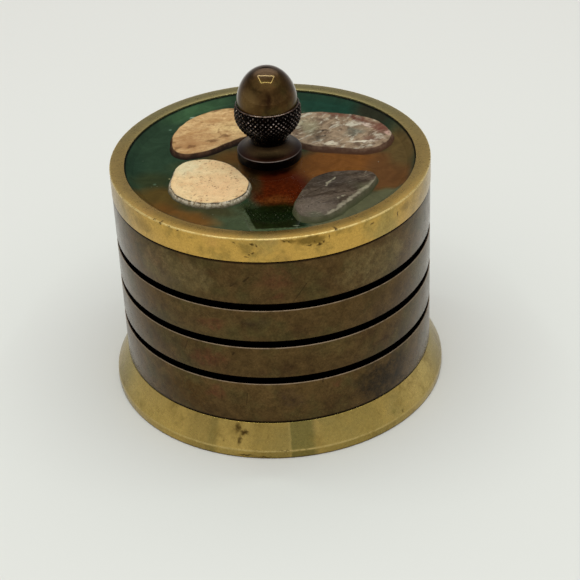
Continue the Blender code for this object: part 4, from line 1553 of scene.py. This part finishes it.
@dataclass
class AcornKnob:
    """The turned acorn knob, with its knurled cup."""

    RELIEF = "knurl_relief"

    steps: int = 420
    flange_radius: float = 8.0 * MM
    flange_thickness: float = 2.45 * MM
    flange_edge: float = 0.25 * MM
    neck_radius: float = 4.65 * MM
    neck_height: float = 3.9 * MM
    rise: float = 2.2 * MM
    neck_straight: float = 0.6 * MM
    cup_radius: float = 8.3 * MM
    bowl_height: float = 4.9 * MM
    band_height: float = 1.4 * MM
    lip_height: float = 2.1 * MM
    dome_step: float = 0.8 * MM
    dome_fullness: float = 2.0
    bowl_fullness: float = 1.5
    seam_depth: float = 0.35 * MM
    hole_radius: float = 2.3 * MM
    hole_depth: float = 7.8 * MM
    diamonds: int = 40
    knurl_depth: float = 0.4 * MM
    knurl_rows: int = 50
    knurled_lip: float = 0.86  # the share of the lip's height that the knurl reaches
    dome_rings: int = 25

    def build(self) -> None:
        """Make the knob."""
        knob = Span.of("acorn_finial")
        flange_top = knob.bottom + self.flange_thickness
        cup_bottom = flange_top + self.neck_height
        band_bottom = cup_bottom + self.bowl_height
        band_top = band_bottom + self.band_height
        dome_bottom = band_top + self.lip_height
        dome_radius = self.cup_radius - self.dome_step
        dome_height = knob.top - dome_bottom
        dome = [(0.0, knob.top)]
        for step in range(1, self.dome_rings):
            height = math.sin(math.pi / 2 * (1 - step / self.dome_rings))
            width = math.sqrt(1 - height**self.dome_fullness)
            dome.append((dome_radius * width, dome_bottom + dome_height * height))
        dome.append((dome_radius, dome_bottom))
        seam = [(dome_radius - self.seam_depth * 0.6, dome_bottom - self.seam_depth)]
        lip_reach = (self.dome_step, self.lip_height)
        lip = Lathe.arc((dome_radius, band_top), lip_reach, 78, 0, 7)
        cup = self.cup_wall(band_top, band_bottom, cup_bottom)
        flare = ((0.0, 1.0), (0.2, 0.74), (0.55, 0.44), (1.08, 0.13))  # shares of the rise, outward and up
        cone = [(self.neck_radius + out * self.rise, flange_top + up * self.rise) for out, up in flare]
        flange = [
            (self.flange_radius - self.flange_edge, flange_top),
            (self.flange_radius, flange_top - self.flange_edge),
            (self.flange_radius, knob.bottom),
            (self.hole_radius, knob.bottom),
            (self.hole_radius, knob.bottom + self.hole_depth),
            (0, knob.bottom + self.hole_depth),
        ]
        neck = (self.neck_radius, flange_top + self.rise + self.neck_straight)
        profile = [*dome, *seam, *lip, *cup, neck, *cone, *flange]
        piece = Lathe.turn("acorn_knob", profile, self.steps, False)
        knurl_top = band_top + self.lip_height * self.knurled_lip
        self.knurl(piece, knurl_top, cup_bottom, [*reversed(cup), *reversed(lip)])
        Lathe.smooth(piece)
        levels = (size / MM for size in (self.flange_radius, flange_top, dome_bottom, dome_radius, knob.top))
        antique = AntiqueBrass().make("antique_brass", *levels)
        Dresser.dress(piece, antique, "antique_brass", "lid", "acorn_finial")

    def cup_wall(self, band_top: float, band_bottom: float, cup_bottom: float) -> list[Point]:
        """Return the cup's side, evenly spaced so that the knurl has enough rows."""
        band_rows = self.knurl_rows // 5
        bowl_rows = self.knurl_rows - band_rows
        rows = []
        for step in range(1, band_rows + 1):
            rows.append((self.cup_radius, band_top - (band_top - band_bottom) * step / band_rows))
        for step in range(1, bowl_rows + 1):
            drop = math.sin(math.pi / 2 * step / bowl_rows)
            width = (1 - drop**self.bowl_fullness) ** (1 / self.bowl_fullness)
            radius = self.neck_radius + (self.cup_radius - self.neck_radius) * width
            rows.append((radius, band_bottom - (band_bottom - cup_bottom) * drop))
        return rows

    def knurl(self, piece: Piece, top: float, bottom: float, wall: Sequence[Point]) -> None:
        """Press crossed grooves into the cup, and record the relief for the finish.

        Args:
            piece: The turned knob.
            top: The height at which the grooves end on the lip.
            bottom: The height at which they end above the neck.
            wall: The cup's side from bottom to top, as (radius, height) points.
        """
        lengths = [0.0]
        for (near, low), (far, high) in zip(wall, wall[1:]):
            lengths.append(lengths[-1] + math.hypot(far - near, high - low))
        pitch = math.tau * self.cup_radius / self.diamonds
        relief = piece.data.attributes.new(self.RELIEF, "FLOAT", "POINT")
        for vertex in piece.data.vertices:
            radius = math.hypot(vertex.co.x, vertex.co.y)
            if not bottom < vertex.co.z < top or radius < self.neck_radius - self.knurl_depth / 10:
                continue
            row = next(i for i in range(1, len(wall)) if wall[i][1] >= vertex.co.z - MERGE_DISTANCE)
            share = (vertex.co.z - wall[row - 1][1]) / max(wall[row][1] - wall[row - 1][1], MERGE_DISTANCE)
            along = (lengths[row - 1] + share * (lengths[row] - lengths[row - 1])) / pitch
            around = math.atan2(vertex.co.y, vertex.co.x) / math.tau * self.diamonds
            first = 2 * abs((around + along) % 1 - 0.5)
            second = 2 * abs((around - along) % 1 - 0.5)
            height = min(1.0, 1.25 * min(first, second))
            fade = min(1.0, (along - 0.6) / 1.2) if along > 0.6 else 0.0
            relief.data[vertex.index].value = height * fade
            pressed = self.knurl_depth * (1 - height) * fade
            out, up = self.slope(wall, row)
            way = Vector((vertex.co.x / radius, vertex.co.y / radius, 0)) * out + Vector((0, 0, up))
            vertex.co -= way * pressed

    @staticmethod
    def slope(wall: Sequence[Point], row: int) -> Point:
        """Return the outward direction of the wall at one row, as (radius, height)."""
        (near, low), (far, high) = wall[row - 1], wall[row]
        length = math.hypot(far - near, high - low)
        return (high - low) / length, -(far - near) / length


@dataclass
class KnobFixings:
    """The slotted screw and the washer that hold the knob from inside the lid."""

    shank_radius: float = 2.0 * MM
    washer_hole: float = 2.3 * MM
    head_edge: float = 0.8 * MM
    slot_width: float = 1.0 * MM
    slot_depth: float = 1.1 * MM
    edge_round: float = 0.12 * MM
    tip_edge: float = 0.3 * MM
    seat_gap: float = 0.3 * MM

    def build(self) -> None:
        """Make the screw and the washer."""
        screw = Span.of("finial_screw")
        washer = Span.of("finial_washer")
        seat = washer.bottom - self.seat_gap
        edge = self.head_edge
        dome = Lathe.arc((screw.radius - edge, screw.bottom + edge), (edge, edge), 0, -90, 5)
        profile = [
            (0, screw.top),
            (self.shank_radius - self.tip_edge, screw.top),
            (self.shank_radius, screw.top - self.tip_edge),
            (self.shank_radius, seat),
            (screw.radius, seat),
            *dome,
            (0, screw.bottom),
        ]
        piece = Lathe.turn("slotted_screw", profile, SMALL_STEPS, False)
        Lathe.clear_selection()
        bpy.ops.mesh.primitive_cube_add(size=1, location=(0, 0, screw.bottom))
        blade = bpy.context.object
        blade.scale = (3 * screw.radius, self.slot_width, 2 * self.slot_depth)
        bpy.ops.object.transform_apply(location=True, rotation=True, scale=True)
        Lathe.pick(piece)
        slot = piece.modifiers.new("Slot", "BOOLEAN")
        slot.operation = "DIFFERENCE"
        slot.object = blade
        bpy.ops.object.modifier_apply(modifier=slot.name)
        bpy.data.objects.remove(blade, do_unlink=True)
        Lathe.smooth(piece)
        Dresser.dress(piece, PlainBrass().make("screw_brass"), "screw_brass", "lid", "finial_screw")

        section = [
            (self.washer_hole, washer.top, self.edge_round),
            (washer.radius, washer.top, self.edge_round),
            (washer.radius, washer.bottom, self.edge_round),
            (self.washer_hole, washer.bottom, self.edge_round),
        ]
        disc = Lathe.turn_soft("flat_washer", section, SMALL_STEPS, True)
        Dresser.dress(disc, PlainBrass().make("washer_brass"), "screw_brass", "lid", "finial_washer")


@dataclass
class Studio:
    """A pale floor under a soft light tent, lamp strips and a window overhead, and the camera."""

    floor_size: float = 8.0
    floor_colour: Colour = (0.695, 0.672, 0.638)
    lens: float = 107.65
    sensor: float = 36.0
    clip_start: float = 0.01
    camera_place: Place = (0.0, -0.380324, 0.269933)
    camera_pitch: float = 0.578603
    camera_yaw: float = 0.0091373
    camera_roll: float = -0.0464418
    tent_strength: float = 1.2
    tent: tuple[Point, ...] = (  # how high, from 0 at eye level to 1 overhead, and how bright
        (0.0, 0.62), (0.20, 0.50), (0.38, 0.42), (0.54, 0.46), (0.70, 0.78), (0.85, 0.96), (1.0, 1.0),
    )
    dim_middle: Place = (0.0, 0.877, 0.482)
    dim_spread: Place = (0.4, 1.0, 1.0)
    dim_inner: float = 0.05
    dim_outer: float = 0.13
    dim_level: float = 0.12
    front_gain: float = 0.27
    strip_height: float = 0.5
    strip_width: float = 0.018
    strip_radiance: float = 12.0
    strip_tint: Colour = (0.8, 1.0, 0.95)
    strip_corners: tuple[Point, ...] = (
        (-0.237, 0.138), (-0.1, 0.055), (0.06, 0.03), (0.245, 0.082), (0.164, -0.189), (-0.16, -0.171),
    )
    window_place: Place = (0.0, 0.9, 1.0)
    window_size: Point = (1.8, 0.8)
    window_radiance: float = 0.32

    def build(self) -> None:
        """Make the floor, the light and the camera."""
        self.build_floor()
        self.build_tent()
        for number, corner in enumerate(self.strip_corners):
            self.build_strip(number, corner, self.strip_corners[(number + 1) % len(self.strip_corners)])
        self.hang("window", Vector(self.window_place), 0.0, self.window_size, self.window_radiance)
        self.build_camera()
        bpy.context.scene.view_settings.view_transform = "Standard"

    def build_floor(self) -> None:
        """Make the plain floor."""
        Lathe.clear_selection()
        bpy.ops.mesh.primitive_plane_add(size=self.floor_size)
        floor = bpy.context.object
        floor.name = "floor"
        material = bpy.data.materials.new("pale_paper")
        material.use_nodes = True
        paper = ShaderNodes(material.node_tree)
        shader = paper.tree.nodes["Principled BSDF"]
        matt = {"Base Color": self.floor_colour, "Roughness": 0.9, "Specular IOR Level": 0.1}
        for name, value in matt.items():
            paper.feed(shader.inputs[name], value)
        floor.data.materials.append(material)

    def build_tent(self) -> None:
        """Make the tent's soft light: brighter overhead and in front, with a dim patch behind the box."""
        world = bpy.data.worlds.new("light_tent")
        bpy.context.scene.world = world
        world.use_nodes = True
        light = ShaderNodes(world.node_tree)
        way = light.node("TexCoord", {}).outputs["Generated"]
        _, behind, up = light.split(way)
        levels = light.node("ValToRGB", {"Fac": up})
        stops = levels.color_ramp.elements
        while len(stops) < len(self.tent):
            stops.new(0.5)
        for stop, (height, level) in zip(stops, self.tent):
            stop.position = height
            stop.color = (level, level, level, 1.0)
        away = light.vector("MULTIPLY", light.vector("SUBTRACT", way, self.dim_middle), self.dim_spread)
        dim = light.ramp(light.vector("LENGTH", away), self.dim_inner, self.dim_outer,
                         self.dim_level * self.tent_strength, self.tent_strength)
        front = light.node("Math", {0: behind, 1: -self.front_gain, 2: 1.0}, operation="MULTIPLY_ADD")
        background = light.tree.nodes["Background"]
        light.feed(background.inputs["Strength"], light.times(front.outputs["Value"], dim))
        light.feed(background.inputs["Color"], levels.outputs["Color"])

    def build_strip(self, number: int, start: Point, end: Point) -> None:
        """Hang one lamp strip between two corners of the tent's top."""
        middle = Vector(((start[0] + end[0]) / 2, (start[1] + end[1]) / 2, self.strip_height))
        way = Vector((end[0] - start[0], end[1] - start[1]))
        size = (way.length, self.strip_width)
        lamp = self.hang(f"strip_{number}", middle, math.atan2(way.y, way.x), size, self.strip_radiance)
        lamp.color = self.strip_tint

    @staticmethod
    def hang(name: str, place: Vector, turn: float, size: Point, radiance: float) -> bpy.types.AreaLight:
        """Hang a flat lamp that shines straight down.

        Args:
            name: The lamp's name.
            place: Its middle.
            turn: How far it is turned about +Z, in radians.
            size: Its length and width.
            radiance: How bright its face is.

        Returns:
            The lamp.
        """
        lamp = bpy.data.lights.new(name, "AREA")
        lamp.shape = "RECTANGLE"
        lamp.size, lamp.size_y = size
        lamp.energy = radiance * math.pi * lamp.size * lamp.size_y
        lamp_object = bpy.data.objects.new(name, lamp)
        bpy.context.scene.collection.objects.link(lamp_object)
        lamp_object.matrix_world = Matrix.Translation(place) @ Matrix.Rotation(turn, 4, "Z")
        return lamp

    def build_camera(self) -> None:
        """Place the camera as it stood for the picture."""
        camera = bpy.data.cameras.new("camera")
        camera.sensor_fit = "HORIZONTAL"
        camera.sensor_width = self.sensor
        camera.lens = self.lens
        camera.clip_start = self.clip_start
        camera_object = bpy.data.objects.new("camera", camera)
        bpy.context.scene.collection.objects.link(camera_object)
        turn = Matrix.Rotation(-self.camera_yaw, 4, "Z")
        tilt = Matrix.Rotation(math.pi / 2 - self.camera_pitch, 4, "X")
        roll = Matrix.Rotation(self.camera_roll, 4, "Z")
        camera_object.matrix_world = Matrix.Translation(self.camera_place) @ turn @ tilt @ roll
        bpy.context.scene.camera = camera_object


def main() -> None:
    """Build the box, sub-assembly by sub-assembly, and the studio round it."""
    logging.basicConfig(level=logging.INFO, format="%(name)s: %(message)s")
    FlaredFoot().build()
    GroovedBody().build()
    ring = LidRing()
    ring.build()
    ResinInlay(well_radius=ring.well_radius).build()
    AcornKnob().build()
    KnobFixings().build()
    Studio().build()


if __name__ == "__main__":
    main()
